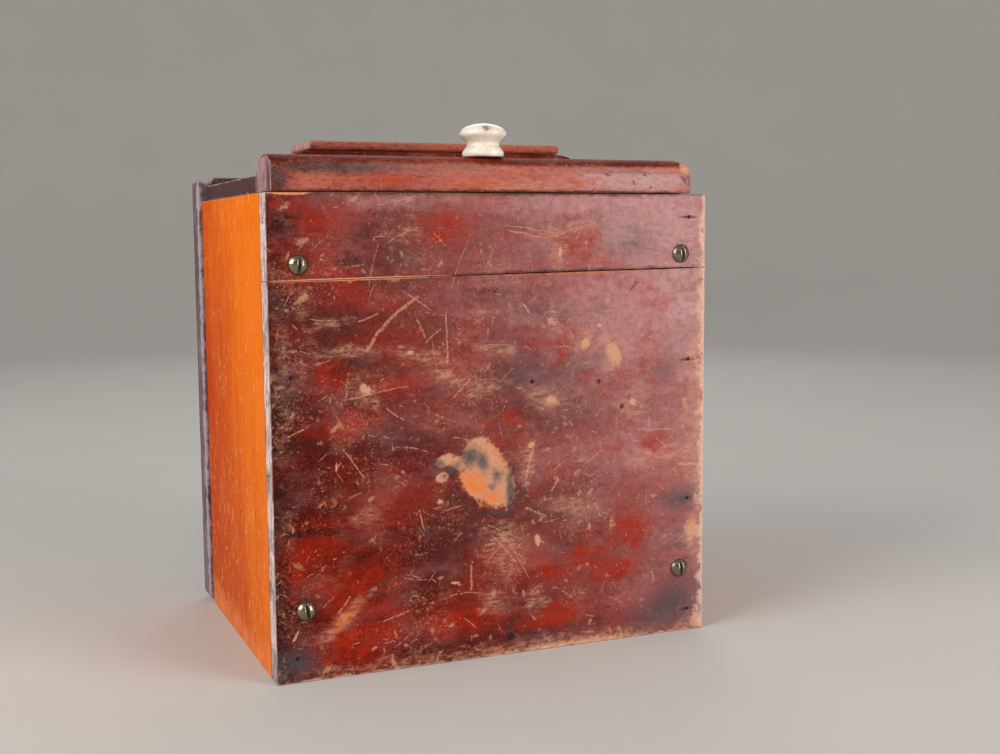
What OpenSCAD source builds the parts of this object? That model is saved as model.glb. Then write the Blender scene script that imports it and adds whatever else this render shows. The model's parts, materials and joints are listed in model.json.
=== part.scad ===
// Antique salt box: a nailed wooden box with a moulded, hinged lid and a glazed knob.
// Millimetres. X runs across the front, Y from front to back, Z up.
// The origin lies under the middle of the boards, on the surface that the box stands on.

/* [Box] */
// Width over the two side panels
box_w = 188; // [160:1:240]
// Height of the walls
box_h = 187.6; // [165:0.2:240]
// Depth of the side panels, from the front boards to the back board
side_d = 119.5; // [110:0.5:170]
// Thickness of the side panels
side_t = 16; // [14:0.5:20]
// Thickness of the two front boards
front_t = 10.5; // [8:0.5:14]
// Thickness of the bottom board
bottom_t = 14; // [10:0.5:20]
// Gap left round the bottom board
bottom_fit = 0.1; // [0.05:0.05:0.3]
// Rounding of the upright front edges
front_arris = 1; // [0.4:0.1:2]

/* [Front joint] */
// Height of the upper front board at its left end
joint_left = 33.2; // [28:0.1:45]
// Height of the upper front board at its right end
joint_right = 30.6; // [28:0.1:45]
// Open gap between the two front boards
joint_gap = 0.4; // [0.2:0.1:1]

/* [Back board] */
// Thickness of the back board
back_t = 13; // [11:0.5:18]
// How far the back board stands proud of each side panel
back_lip = 2.2; // [0.5:0.1:5]
// Height of the back board's top edge over the hinge axis
back_over_axis = 1.4; // [0.8:0.1:1.6]
// Rounding of the back board's long edges
back_arris = 2.5; // [1.5:0.1:4]
// Rounding of the back board's lower corners
back_corner = 5; // [3:0.5:10]
// Rounding of the back board's upper corners
back_top_corner = 1.5; // [1:0.1:4]

/* [Lid board] */
// How far the lid's left end stops inside the box
lid_left_inset = 2.1; // [0.5:0.1:10]
// How far the lid's right end stops inside the box
lid_right_inset = 7.2; // [0.5:0.1:10]
// Air gap under the closed lid
lid_gap = 0.3; // [0.3:0.1:1]
// Thickness of the flat part of the lid
slab_t = 7; // [6:0.5:10]
// Height of the rounded front nosing
nosing_h = 14.2; // [12:0.1:20]
// Height of the nosing's upright front face
nosing_front_h = 8; // [6:0.1:9]
// Distance from the nosing's front face to its crest
crest_d = 11.7; // [10:0.1:14]
// Distance from the nosing's front face to the foot of its back
nosing_d = 22.5; // [20:0.5:28]
// Height of the small quirk at the foot of the nosing over the flat of the lid
quirk_h = 1; // [0.4:0.1:2]
// Length of the hollow that runs the nosing out to the flat of the lid
cove_d = 6.5; // [3:0.5:10]
// Rounding of the nosing's worn right end
nosing_right_round = 6; // [1:0.5:7]
// Rounding of the nosing's left end
nosing_left_round = 1.2; // [0.5:0.1:5]

/* [Riser and cap] */
// Length of the riser block
riser_l = 128; // [100:1:140]
// Depth of the riser block
riser_d = 31.5; // [26:0.5:40]
// Height of the riser block
riser_h = 12.6; // [8:0.1:16]
// Length of the bevel at each end of the riser
riser_bevel_l = 6; // [2:0.5:10]
// Fall of the bevel at each end of the riser
riser_bevel_h = 1.4; // [0.5:0.1:4]
// Length of the cap strip on the riser
cap_l = 116; // [90:1:128]
// Depth of the cap strip
cap_d = 34.3; // [28:0.1:44]
// Thickness of the cap strip
cap_t = 3.9; // [3:0.1:6]
// Rounding of the cap's long edges
cap_arris = 1.2; // [0.4:0.1:1.4]
// Distance from the front of the box to the middle of the cap
cap_back = 79.8; // [60:0.1:90]

/* [Knob] */
// Diameter of the knob's head
knob_d = 19; // [16:0.5:26]
// Diameter of the knob's base
knob_base_d = 16.9; // [14:0.1:20]
// Diameter of the knob's neck
knob_neck_d = 12.9; // [10:0.1:13.5]
// Height of the knob
knob_h = 13.4; // [12:0.1:20]
// Height of the widest part of the base
knob_base_h = 1.4; // [0.8:0.1:2.5]
// Height of the neck
knob_neck_h = 5.2; // [4:0.1:6]
// Height of the widest part of the head
knob_head_h = 9.1; // [8:0.1:10.5]
// Diameter of the screw cemented into the knob
knob_screw_d = 4; // [3:0.1:5]
// Depth of the screw inside the knob
knob_screw_grip = 8; // [5:0.5:9.5]
// Wood left under the screw's point
knob_screw_stop = 4; // [2:0.5:6]

/* [Hinges] */
// Length of each butt hinge
hinge_l = 19; // [16:0.5:25]
// Distance from the lid's end to its hinge
hinge_inset = 3.4; // [2:0.1:20]
// Thickness of a hinge leaf
leaf_t = 1.1; // [0.9:0.1:1.6]
// Gap between the two closed leaves
leaf_gap = 0.4; // [0.3:0.1:0.8]
// Height of the leaf's lower edge over the lid's underside
leaf_margin = 0.9; // [0.4:0.1:1.4]
// Outer diameter of the hinge knuckles
knuckle_d = 4.6; // [4.4:0.1:6]
// Gap between neighbouring knuckles
knuckle_gap = 0.2; // [0.1:0.05:0.4]
// Height of the hinge axis over the flat of the lid
hinge_rise = 1.2; // [0.9:0.1:1.8]
// Diameter of the hinge pin
pin_d = 2; // [1.6:0.1:2.4]
// Radial clearance of the hinge pin
pin_fit = 0.05; // [0.02:0.01:0.1]
// Clearance of the notches round the hinge barrels
barrel_clear = 0.4; // [0.3:0.1:0.8]

/* [Round-head screws] */
// Shank diameter of the front screws
screw_d = 4.2; // [3:0.1:5]
// Head diameter of the front screws
screw_head_d = 7.8; // [6.5:0.1:9]
// Height of the domed heads
screw_head_h = 2.6; // [2:0.1:3.2]
// Length of the front screws under the head
screw_l = 32; // [24:1:40]
// Length of a screw's point
screw_point = 5; // [2:0.5:8]
// Width of the slot in the head
screw_slot_w = 1.1; // [0.6:0.1:1.5]
// Depth of the slot in the head
screw_slot_d = 1.4; // [0.6:0.1:1.6]
// Distance from the side of the box to the screws
screw_inset = 12; // [9:0.5:12.5]
// Height of the upper screws over the front joint
screw_over_joint = 6; // [5:0.5:10]
// Height of the lower screws
screw_low = 28; // [22:1:40]
// Radial clearance of a screw in its hole
screw_fit = 0.05; // [0.02:0.01:0.2]

/* [Nails and brads] */
// Shank diameter of the nails
nail_d = 1.9; // [1.4:0.1:2.4]
// Head diameter of the nails
nail_head_d = 2.9; // [2.6:0.1:4]
// Thickness of the nail heads
nail_head_t = 0.8; // [0.5:0.1:1.2]
// Length of the nails
nail_l = 32; // [26:1:40]
// Length of a nail's point
nail_point = 3; // [1:0.5:5]
// How deep the nail heads are set
nail_set = 0.3; // [0.1:0.1:0.8]
// Distance from the top and the bottom of the box to the end nails
nail_margin = 9.5; // [8:0.5:14]
// Spacing of the nails down from the top one
nail_pitch = 60; // [45:1:64]
// How far right of the middle the nail through the front into the bottom is
floor_nail_x = 3; // [-20:1:20]
// Spacing of the two nails through the back into the bottom
floor_nail_pitch = 90; // [60:1:110]
// Shank diameter of the cap brads
brad_d = 1.4; // [1:0.1:1.8]
// Head diameter of the cap brads
brad_head_d = 2.2; // [2:0.1:3]
// Thickness of the brad heads
brad_head_t = 0.6; // [0.4:0.1:1]
// Spacing of the cap brads
brad_pitch = 42; // [30:1:44]
// Wood left under the brads' points
brad_stop = 2; // [1:0.1:3]
// Radial clearance of a nail or brad in its hole
nail_fit = 0.05; // [0.02:0.01:0.2]

/* [Hinge screws] */
// Shank diameter of the hinge screws
small_screw_d = 1.8; // [1.4:0.1:2.2]
// Diameter of the countersunk heads
small_head_d = 3.4; // [3:0.1:3.8]
// Length of the hinge screws
small_screw_l = 9.5; // [7:0.5:10]
// Spacing of the two screws in a leaf
small_screw_pitch = 12; // [8:0.5:13]
// Width of the slot in the countersunk heads
small_slot_w = 0.5; // [0.3:0.1:0.7]
// Depth of the slot in the countersunk heads
small_slot_d = 0.4; // [0.2:0.1:0.6]

/* [Hidden] */
$fn = 48;

// Overshoot of a cut past the face that it opens
cut = 0.5;
// Angle step along the moulded outlines
outline_step = 10;

// Finishes, as the object shows them
dark_red = [0.38, 0.15, 0.11];
warm_orange = [0.80, 0.38, 0.12];
aged_edge = [0.45, 0.30, 0.25];
bare_wood = [0.62, 0.46, 0.30];
glaze = [0.93, 0.90, 0.82];
old_brass = [0.55, 0.47, 0.30];
old_iron = [0.25, 0.22, 0.20];

// Planes of the box
half_w = box_w / 2;
inner_half_w = half_w - side_t;
front_y = -(front_t + side_d + back_t) / 2;
side_y = front_y + front_t;
back_y = side_y + side_d;
rear_y = back_y + back_t;

// Planes of the lid
lid_x0 = -half_w + lid_left_inset;
lid_x1 = half_w - lid_right_inset;
lid_w = lid_x1 - lid_x0;
lid_mid_x = (lid_x0 + lid_x1) / 2;
lid_z = box_h + lid_gap;
slab_z = lid_z + slab_t;
crest_y = front_y + crest_d;
crest_z = lid_z + nosing_h;
hinge_gap = 2 * leaf_t + leaf_gap;
lid_d = back_y - hinge_gap - front_y;
cap_y = front_y + cap_back;
cap_z = slab_z + riser_h;

// Hinge axis and the left end of each hinge
axis_y = back_y - hinge_gap / 2;
axis_z = slab_z + hinge_rise;
hinge_left_x = lid_x0 + hinge_inset;
hinge_right_x = lid_x1 - hinge_inset - hinge_l;
knuckle_l = (hinge_l - 2 * knuckle_gap) / 3;
leaf_drop = hinge_rise + slab_t - leaf_margin;
back_h = axis_z + back_over_axis;

// Height of the front joint's line at a place across the box
function joint_z(x) = box_h - joint_left + (joint_left - joint_right) * (x + half_w) / box_w;

// Places of the fasteners, as [x, z] on the front or the back
nail_x = half_w - side_t / 2;
nail_rows = concat([nail_margin], [for (i = [0:2]) box_h - nail_margin - i * nail_pitch]);
wall_nails = [for (x = [-nail_x, nail_x]) for (z = nail_rows) [x, z]];
front_nail_places = concat(wall_nails, [[floor_nail_x, bottom_t / 2]]);
back_nail_places = concat(wall_nails, [for (s = [-1, 1]) [s * floor_nail_pitch / 2, bottom_t / 2]]);
screw_x = half_w - screw_inset;
screw_places = [
  [-screw_x, joint_z(-screw_x) + screw_over_joint],
  [screw_x, joint_z(screw_x) + screw_over_joint],
  [-screw_x, screw_low],
  [screw_x, screw_low]
];
// How far each front screw's slot is turned from upright
slot_turns = [4, -7, 9, 3];

// The drawing's outline runs along Y and Z and is drawn out along X
module along_x(x0, l) {
  translate([x0, 0, 0]) rotate([90, 0, 90]) linear_extrude(l) children();
}

// The drawing's outline runs along X and Z and is drawn out along Y
module along_y(y0, l) {
  translate([0, y0 + l, 0]) rotate([90, 0, 0]) linear_extrude(l) children();
}

// What lies outside a rounded corner at the origin of the first quadrant
module corner_waste(r) {
  difference() {
    translate([-cut, -cut]) square(r + cut);
    translate([r, r]) circle(r);
  }
}

// Rectangle with its own rounding at each corner: lower left, lower right, upper right, upper left
module eased_rect(w, h, radii) {
  difference() {
    square([w, h]);
    corner_waste(radii[0]);
    translate([w, 0]) rotate(90) corner_waste(radii[1]);
    translate([w, h]) rotate(180) corner_waste(radii[2]);
    translate([0, h]) rotate(270) corner_waste(radii[3]);
  }
}

// Nail along +Z with the top of its head at the origin
module nail(l, d, head_d, head_t, point) {
  cylinder(d = head_d, h = head_t);
  cylinder(d = d, h = l - point);
  translate([0, 0, l - point]) cylinder(d1 = d, d2 = d / 4, h = point);
}

// Hole for a nail, open at the head by its set
module nail_hole(l, d, head_d, head_t, set) {
  translate([0, 0, -set - cut]) cylinder(d = head_d + 2 * nail_fit, h = head_t + set + cut + nail_fit);
  cylinder(d = d + 2 * nail_fit, h = l + nail_fit);
}

module box_nail() {
  nail(nail_l, nail_d, nail_head_d, nail_head_t, nail_point);
}

module box_nail_hole() {
  nail_hole(nail_l, nail_d, nail_head_d, nail_head_t, nail_set);
}

module at_front_nails() {
  for (p = front_nail_places) translate([p[0], front_y + nail_set, p[1]]) rotate([-90, 0, 0]) children();
}

module at_back_nails() {
  for (p = back_nail_places) translate([p[0], rear_y - nail_set, p[1]]) rotate([90, 0, 0]) children();
}

module at_cap_brads() {
  for (i = [-1:1]) {
    translate([lid_mid_x + i * brad_pitch, cap_y, cap_z + cap_t - nail_set]) rotate([180, 0, 0]) children();
  }
}

module cap_brad_holes() {
  at_cap_brads() nail_hole(brad_l(), brad_d, brad_head_d, brad_head_t, nail_set);
}

function brad_l() = cap_t + riser_h + slab_t - brad_stop - nail_set;

// Domed head of a round-head screw, below the origin plane
module dome() {
  dome_r = (pow(screw_head_d / 2, 2) + pow(screw_head_h, 2)) / (2 * screw_head_h);
  mirror([0, 0, 1]) rotate_extrude() intersection() {
    translate([0, screw_head_h - dome_r]) circle(dome_r);
    square([screw_head_d / 2, screw_head_h]);
  }
}

// Round-head wood screw along +Z, seated at the origin plane
module round_head_screw() {
  difference() {
    dome();
    translate([-screw_slot_w / 2, -screw_head_d, -screw_head_h - cut])
      cube([screw_slot_w, 2 * screw_head_d, screw_slot_d + cut]);
  }
  cylinder(d = screw_d, h = screw_l - screw_point);
  translate([0, 0, screw_l - screw_point]) cylinder(d1 = screw_d, d2 = screw_d / 4, h = screw_point);
}

module at_front_screws() {
  for (i = [0:3]) {
    translate([screw_places[i][0], front_y, screw_places[i][1]])
      rotate([-90, 0, 0]) rotate(slot_turns[i]) children();
  }
}

module front_screw_holes() {
  at_front_screws() translate([0, 0, -cut]) cylinder(d = screw_d + 2 * screw_fit, h = screw_l + screw_fit + cut);
}

// Everything driven in from the front
module front_holes() {
  at_front_nails() box_nail_hole();
  front_screw_holes();
}

// A front board is the front's plan cut to an outline across it
module front_board(outline) {
  color(dark_red) difference() {
    intersection() {
      translate([-half_w, front_y, 0]) linear_extrude(box_h)
        eased_rect(box_w, front_t, [front_arris, front_arris, 0, 0]);
      along_y(front_y, front_t) polygon(outline);
    }
    front_holes();
  }
}

module front_upper_board() {
  gap = joint_gap / 2;
  front_board([
    [-half_w, joint_z(-half_w) + gap],
    [half_w, joint_z(half_w) + gap],
    [half_w, box_h],
    [-half_w, box_h]
  ]);
}

module front_lower_board() {
  gap = joint_gap / 2;
  front_board([
    [-half_w, 0],
    [half_w, 0],
    [half_w, joint_z(half_w) - gap],
    [-half_w, joint_z(-half_w) - gap]
  ]);
}

module side_panel(x0) {
  color(warm_orange) difference() {
    translate([x0, side_y, 0]) cube([side_t, side_d, box_h]);
    front_holes();
    at_back_nails() box_nail_hole();
  }
}

module left_side() {
  side_panel(-half_w);
}

module right_side() {
  side_panel(inner_half_w);
}

module bottom_board() {
  color(bare_wood) difference() {
    translate([-inner_half_w + bottom_fit, side_y + bottom_fit, 0])
      cube([2 * (inner_half_w - bottom_fit), side_d - 2 * bottom_fit, bottom_t]);
    front_holes();
    at_back_nails() box_nail_hole();
  }
}

module back_board() {
  back_w = box_w + 2 * back_lip;
  color(aged_edge) difference() {
    intersection() {
      along_y(back_y, back_t) translate([-back_w / 2, 0])
        eased_rect(back_w, back_h, [back_corner, back_corner, back_top_corner, back_top_corner]);
      translate([-back_w / 2, back_y, 0]) linear_extrude(back_h)
        eased_rect(back_w, back_t, [back_lip, back_lip, back_arris, back_arris]);
      along_x(-back_w / 2, back_w) translate([back_y, 0])
        eased_rect(back_t, back_h, [0, back_arris, back_arris, back_arris]);
    }
    at_back_nails() box_nail_hole();
    barrel_notches();
    hinge_screw_holes(1);
  }
}

// Side outline of the lid: upright front, rounded crest, hollow foot and flat slab
function lid_outline() = concat(
  [[0, 0], [0, nosing_front_h]],
  [for (a = [outline_step:outline_step:90])
    [crest_d * (1 - cos(a)), nosing_front_h + (nosing_h - nosing_front_h) * sin(a)]],
  [for (a = [outline_step:outline_step:90])
    [crest_d + (nosing_d - crest_d) * sin(a), quirk_z() + (nosing_h - quirk_z()) * cos(a)]],
  [for (a = [outline_step:outline_step:90])
    [nosing_d + cove_d * (1 - cos(a)), slab_t + quirk_h * (1 - sin(a))]],
  [[lid_d, slab_t], [lid_d, 0]]
);

function quirk_z() = slab_t + quirk_h;

module lid_board() {
  color(dark_red) difference() {
    intersection() {
      along_x(lid_x0, lid_w) translate([front_y, lid_z]) polygon(lid_outline());
      along_y(front_y, lid_d) translate([lid_x0, lid_z])
        eased_rect(lid_w, nosing_h, [0, 0, nosing_right_round, nosing_left_round]);
    }
    barrel_notches();
    hinge_screw_holes(-1);
    knob_screw_hole();
    cap_brad_holes();
  }
}

module lid_riser() {
  end = riser_l / 2;
  shoulder = end - riser_bevel_l;
  color(dark_red) difference() {
    along_y(cap_y - riser_d / 2, riser_d) translate([lid_mid_x, slab_z]) polygon([
      [-end, 0],
      [end, 0],
      [end, riser_h - riser_bevel_h],
      [shoulder, riser_h],
      [-shoulder, riser_h],
      [-end, riser_h - riser_bevel_h]
    ]);
    cap_brad_holes();
  }
}

module lid_cap() {
  long_edges = [cap_arris, cap_arris, cap_arris, cap_arris];
  color(dark_red) difference() {
    intersection() {
      along_y(cap_y - cap_d / 2, cap_d) translate([lid_mid_x - cap_l / 2, cap_z])
        eased_rect(cap_l, cap_t, long_edges);
      along_x(lid_mid_x - cap_l / 2, cap_l) translate([cap_y - cap_d / 2, cap_z])
        eased_rect(cap_d, cap_t, long_edges);
    }
    cap_brad_holes();
  }
}

module cap_brads() {
  color(old_iron) at_cap_brads() nail(brad_l(), brad_d, brad_head_d, brad_head_t, nail_point);
}

// Half outline of the knob, as [radius, height]
function swell(r0, r1, z0, z1) = [
  for (a = [outline_step:outline_step:180]) [r0 + (r1 - r0) * (1 - cos(a)) / 2, z0 + (z1 - z0) * a / 180]
];

function knob_outline() = concat(
  [[0, 0]],
  [for (a = [-60:outline_step:0]) [knob_base_d / 2 - knob_base_h * (1 - cos(a)), knob_base_h * (1 + sin(a) / sin(60))]],
  swell(knob_base_d / 2, knob_neck_d / 2, knob_base_h, knob_neck_h),
  swell(knob_neck_d / 2, knob_d / 2, knob_neck_h, knob_head_h),
  [for (a = [outline_step:outline_step:90]) [knob_d / 2 * cos(a), knob_head_h + (knob_h - knob_head_h) * sin(a)]]
);

module at_knob() {
  translate([lid_mid_x, crest_y, crest_z]) children();
}

// Screw of the knob, and its hole with a clearance
module knob_thread(fit) {
  at_knob() translate([0, 0, -knob_screw_reach - fit])
    cylinder(d = knob_screw_d + 2 * fit, h = knob_screw_reach + knob_screw_grip + 2 * fit);
}

knob_screw_reach = nosing_h - knob_screw_stop;

module knob_screw_hole() {
  knob_thread(screw_fit);
}

module knob() {
  color(glaze) difference() {
    at_knob() rotate_extrude() polygon(knob_outline());
    knob_screw_hole();
  }
}

module knob_screw() {
  color(old_iron) knob_thread(0);
}

module front_screws() {
  color(old_brass) at_front_screws() round_head_screw();
}

module front_nails() {
  color(old_iron) at_front_nails() box_nail();
}

module back_nails() {
  color(old_iron) at_back_nails() box_nail();
}

module at_hinge(x0) {
  translate([x0, axis_y, axis_z]) children();
}

// Round bar on the hinge axis, from one place along the hinge to another
module axis_bar(x0, x1, d) {
  translate([x0, 0, 0]) rotate([0, 90, 0]) cylinder(d = d, h = x1 - x0);
}

function knuckle_x(i) = i * (knuckle_l + knuckle_gap);

// Notches that clear the barrels in the lid and in the back board
module barrel_notches() {
  for (x = [hinge_left_x, hinge_right_x]) {
    at_hinge(x) axis_bar(-barrel_clear, hinge_l + barrel_clear, knuckle_d + 2 * barrel_clear);
  }
}

// Countersunk screw along +Z with the top of its head at the origin
module countersunk(d, head_d, l) {
  head_h = (head_d - d) / 2;
  cylinder(d1 = head_d, d2 = d, h = head_h);
  cylinder(d = d, h = l);
}

// The screws of a leaf face away from the other leaf: side is -1 in the lid and 1 in the back board
module at_leaf_screws(side) {
  for (i = [-1, 1]) {
    translate([hinge_l / 2 + i * small_screw_pitch / 2, side * leaf_gap / 2, -hinge_rise - slab_t / 2])
      rotate([-side * 90, 0, 0]) children();
  }
}

module leaf_screw_holes(side) {
  at_leaf_screws(side)
    countersunk(small_screw_d + 2 * screw_fit, small_head_d + 2 * screw_fit, small_screw_l + screw_fit);
}

module hinge_screw_holes(side) {
  for (x = [hinge_left_x, hinge_right_x]) at_hinge(x) leaf_screw_holes(side);
}

module hinge_screws(side) {
  color(old_brass) for (x = [hinge_left_x, hinge_right_x]) at_hinge(x) at_leaf_screws(side) difference() {
    countersunk(small_screw_d, small_head_d, small_screw_l);
    translate([-small_slot_w / 2, -small_head_d, -cut]) cube([small_slot_w, 2 * small_head_d, small_slot_d + cut]);
  }
}

module hinge_lid_screws() {
  hinge_screws(-1);
}

module hinge_back_screws() {
  hinge_screws(1);
}

// Hinge leaf with its own knuckles, cleared round the other leaf's knuckles
module hinge_leaf(x0, side, own, other) {
  plate_y = side > 0 ? leaf_gap / 2 : -leaf_gap / 2 - leaf_t;
  plate_top = (pin_d + 2 * pin_fit + knuckle_d) / 4;
  color(old_brass) at_hinge(x0) difference() {
    union() {
      translate([0, plate_y, -leaf_drop]) cube([hinge_l, leaf_t, leaf_drop - plate_top]);
      for (i = own) axis_bar(knuckle_x(i), knuckle_x(i) + knuckle_l, knuckle_d);
    }
    for (i = other) {
      axis_bar(knuckle_x(i) - knuckle_gap, knuckle_x(i) + knuckle_l + knuckle_gap, knuckle_d + 2 * knuckle_gap);
    }
    axis_bar(-cut, hinge_l + cut, pin_d + 2 * pin_fit);
    leaf_screw_holes(side);
  }
}

module hinge_pin(x0) {
  color(old_iron) at_hinge(x0) axis_bar(0, hinge_l, pin_d);
}

module hinge_left_lid_leaf() {
  hinge_leaf(hinge_left_x, -1, [1], [0, 2]);
}

module hinge_left_back_leaf() {
  hinge_leaf(hinge_left_x, 1, [0, 2], [1]);
}

module hinge_left_pin() {
  hinge_pin(hinge_left_x);
}

module hinge_right_lid_leaf() {
  hinge_leaf(hinge_right_x, -1, [1], [0, 2]);
}

module hinge_right_back_leaf() {
  hinge_leaf(hinge_right_x, 1, [0, 2], [1]);
}

module hinge_right_pin() {
  hinge_pin(hinge_right_x);
}

front_upper_board();
front_lower_board();
left_side();
right_side();
back_board();
bottom_board();
lid_board();
lid_riser();
lid_cap();
knob();
knob_screw();
cap_brads();
front_screws();
front_nails();
back_nails();
hinge_left_lid_leaf();
hinge_left_back_leaf();
hinge_left_pin();
hinge_right_lid_leaf();
hinge_right_back_leaf();
hinge_right_pin();
hinge_lid_screws();
hinge_back_screws();
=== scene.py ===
"""Looks of an old wooden salt box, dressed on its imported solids.

All pieces stand in the frame of the solids: X across the front, Y to the back, Z up.
Meshes are worked out in millimetres and become metres when they are made.
"""

import functools
import json
import logging
import math
from collections.abc import Callable, Iterable, Sequence
from dataclasses import dataclass, field
from enum import Enum
from typing import Protocol

import bpy
import numpy as np
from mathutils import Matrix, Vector


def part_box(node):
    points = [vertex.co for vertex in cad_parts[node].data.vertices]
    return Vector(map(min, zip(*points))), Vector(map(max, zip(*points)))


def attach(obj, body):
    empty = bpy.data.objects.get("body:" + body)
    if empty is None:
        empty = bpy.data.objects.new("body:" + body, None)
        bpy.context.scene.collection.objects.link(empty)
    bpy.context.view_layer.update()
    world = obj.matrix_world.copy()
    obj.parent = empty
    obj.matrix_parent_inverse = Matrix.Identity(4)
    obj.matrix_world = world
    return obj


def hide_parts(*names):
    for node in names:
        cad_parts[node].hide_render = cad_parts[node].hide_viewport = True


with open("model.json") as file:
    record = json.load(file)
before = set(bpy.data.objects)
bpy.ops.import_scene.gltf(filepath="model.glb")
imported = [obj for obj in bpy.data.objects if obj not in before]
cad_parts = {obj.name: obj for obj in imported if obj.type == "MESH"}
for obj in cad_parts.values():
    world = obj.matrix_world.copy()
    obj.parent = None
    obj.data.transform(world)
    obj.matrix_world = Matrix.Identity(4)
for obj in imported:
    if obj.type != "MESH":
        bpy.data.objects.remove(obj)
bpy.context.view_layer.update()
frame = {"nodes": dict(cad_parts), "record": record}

log = logging.getLogger("salt_box")

MM = 0.001
# Y and Z of the hinge pins, in millimetres.
HINGE_AXIS = tuple(value / MM for value in frame["record"]["behaviour"]["joints"][0]["pos_m"][1:])

Array = np.ndarray
Material = bpy.types.Material
Tree = bpy.types.NodeTree
Socket = bpy.types.NodeSocket
Triple = tuple[float, float, float]
Colour = tuple[float, float, float, float]
Feed = Socket | float | tuple[float, ...]
Feeds = dict[str | int, Feed]
Rule = Callable[[Array], Array]
Corners = tuple[Array, Array]
Faces = list[tuple[int, ...]]
Outline = list[tuple[float, float]]


def paint(red: int, green: int, blue: int) -> Colour:
    """Turns a colour as the eye reads it into linear light.

    Args:
        red: Red, from 0 to 255.
        green: Green, from 0 to 255.
        blue: Blue, from 0 to 255.

    Returns:
        The colour for a shader socket.
    """
    shares = [step / 255 for step in (red, green, blue)]
    linear = [s / 12.92 if s <= 0.04045 else ((s + 0.055) / 1.055) ** 2.4 for s in shares]
    return (*linear, 1.0)


class Side(Enum):
    """The six faces of a board."""

    LEFT = 0
    RIGHT = 1
    FRONT = 2
    BACK = 3
    BOTTOM = 4
    TOP = 5


class Axis(Enum):
    """The way that a turned piece points."""

    RIGHT = "right"
    FORWARD = "forward"
    BACKWARD = "backward"
    UP = "up"


class Lay(Enum):
    """How the grain lies on a face."""

    PLAIN = "no grain"
    ACROSS = "across the front"
    UPRIGHT = "up a side"
    BACKED = "up the back and its edges"
    ROLLED = "along a moulding"


class Stain(Enum):
    """What a mark on the varnish shows."""

    RED = "red"
    HAZE = "haze"
    GRIME = "grime"
    SCUFF = "scuff"
    BARE = "bare"
    AMBER = "amber"
    SLATE = "slate"


class Lattice:
    """Smooth seeded unevenness, the same on every run."""

    strides = np.array([73856093, 19349663, 83492791], dtype=np.int64)
    seed_stride = 7919
    stir = 1274126177
    cut = 0x7FFFFFFF
    levels = 32768

    def __init__(self, seed: int) -> None:
        """Keeps the seed that tells one piece from another."""
        self.seed = seed

    def _chance(self, cell: Array) -> Array:
        """Gives each lattice cell its own value.

        Args:
            cell: Whole numbers of the cells, one per row.

        Returns:
            Values from -1 to 1, one per cell.
        """
        mixed = (cell * self.strides).sum(axis=1) + self.seed * self.seed_stride
        mixed = ((mixed ^ (mixed >> 13)) * self.stir) & self.cut
        return ((mixed ^ (mixed >> 16)) % (2 * self.levels)) / self.levels - 1

    def at(self, points: Array, size: float) -> Array:
        """Unevenness at some points.

        Args:
            points: Places in millimetres, one per row.
            size: Distance over which it changes, in millimetres.

        Returns:
            Values from -1 to 1, one per point.
        """
        scaled = points / size
        cell = np.floor(scaled).astype(np.int64)
        part = scaled - cell
        eased = part * part * (3 - 2 * part)
        total = np.zeros(len(points))
        for corner in np.ndindex(2, 2, 2):
            weight = np.where(corner, eased, 1 - eased).prod(axis=1)
            total += weight * self._chance(cell + np.array(corner))
        return total

    def layered(self, points: Array, layers: Sequence[tuple[float, float]]) -> Array:
        """Adds up unevenness of several sizes, each with its share."""
        return sum(self.at(points, size) * share for size, share in layers)


@dataclass
class Shell:
    """A closed skin in millimetres, with a side for each face and values for each point."""

    points: Array
    faces: Faces
    sides: list[Side]
    values: dict[str, Array] = field(default_factory=dict)

    def joined(self, other: "Shell") -> "Shell":
        """Puts two skins into one piece.

        Args:
            other: The skin to add.

        Returns:
            Both skins, with the values that the first one has.
        """
        shift = len(self.points)
        moved = [tuple(corner + shift for corner in face) for face in other.faces]
        plain = np.zeros(len(other.points))
        values = {
            key: np.concatenate([old, other.values.get(key, plain)]) for key, old in self.values.items()
        }
        points = np.concatenate([self.points, other.points])
        return Shell(points, self.faces + moved, self.sides + other.sides, values)


def grid_faces(index: Array, flipped: bool) -> Faces:
    """Quads over a grid of point numbers.

    Args:
        index: Point numbers in rows and columns.
        flipped: Whether the quads face the other way.

    Returns:
        The quads, as tuples of point numbers.
    """
    corners = (index[:-1, :-1], index[1:, :-1], index[1:, 1:], index[:-1, 1:])
    ordered = corners[::-1] if flipped else corners
    return [tuple(int(c) for c in quad) for quad in np.stack([c.ravel() for c in ordered], axis=1)]


def box_shell(xs: Array, ys: Array, zs: Array) -> Shell:
    """A box whose six faces are fine grids.

    Args:
        xs: Places of the grid lines across.
        ys: Places of the grid lines from front to back.
        zs: Places of the grid lines upwards.

    Returns:
        The closed skin of the box.
    """
    skin = np.ones((len(xs), len(ys), len(zs)), dtype=bool)
    skin[1:-1, 1:-1, 1:-1] = False
    index = np.full(skin.shape, -1)
    index[skin] = np.arange(skin.sum())
    points = np.stack(np.meshgrid(xs, ys, zs, indexing="ij"), axis=-1)[skin]
    grids = {
        Side.LEFT: (index[0], True),
        Side.RIGHT: (index[-1], False),
        Side.FRONT: (index[:, 0], False),
        Side.BACK: (index[:, -1], True),
        Side.BOTTOM: (index[:, :, 0], True),
        Side.TOP: (index[:, :, -1], False),
    }
    faces: Faces = []
    sides: list[Side] = []
    for side, (grid, flipped) in grids.items():
        quads = grid_faces(grid, flipped)
        faces += quads
        sides += [side] * len(quads)
    return Shell(points, faces, sides)


# Distances of grid lines from an edge and from a chosen spot, and the least gap, in millimetres.
NEAR_LINES = np.array([0, 0.12, 0.3, 0.55, 0.9, 1.4, 2.1, 3.0, 4.2])
SPOT_LINES = np.linspace(-2.4, 2.4, 13)
LEAST_GAP = 0.1
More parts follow.
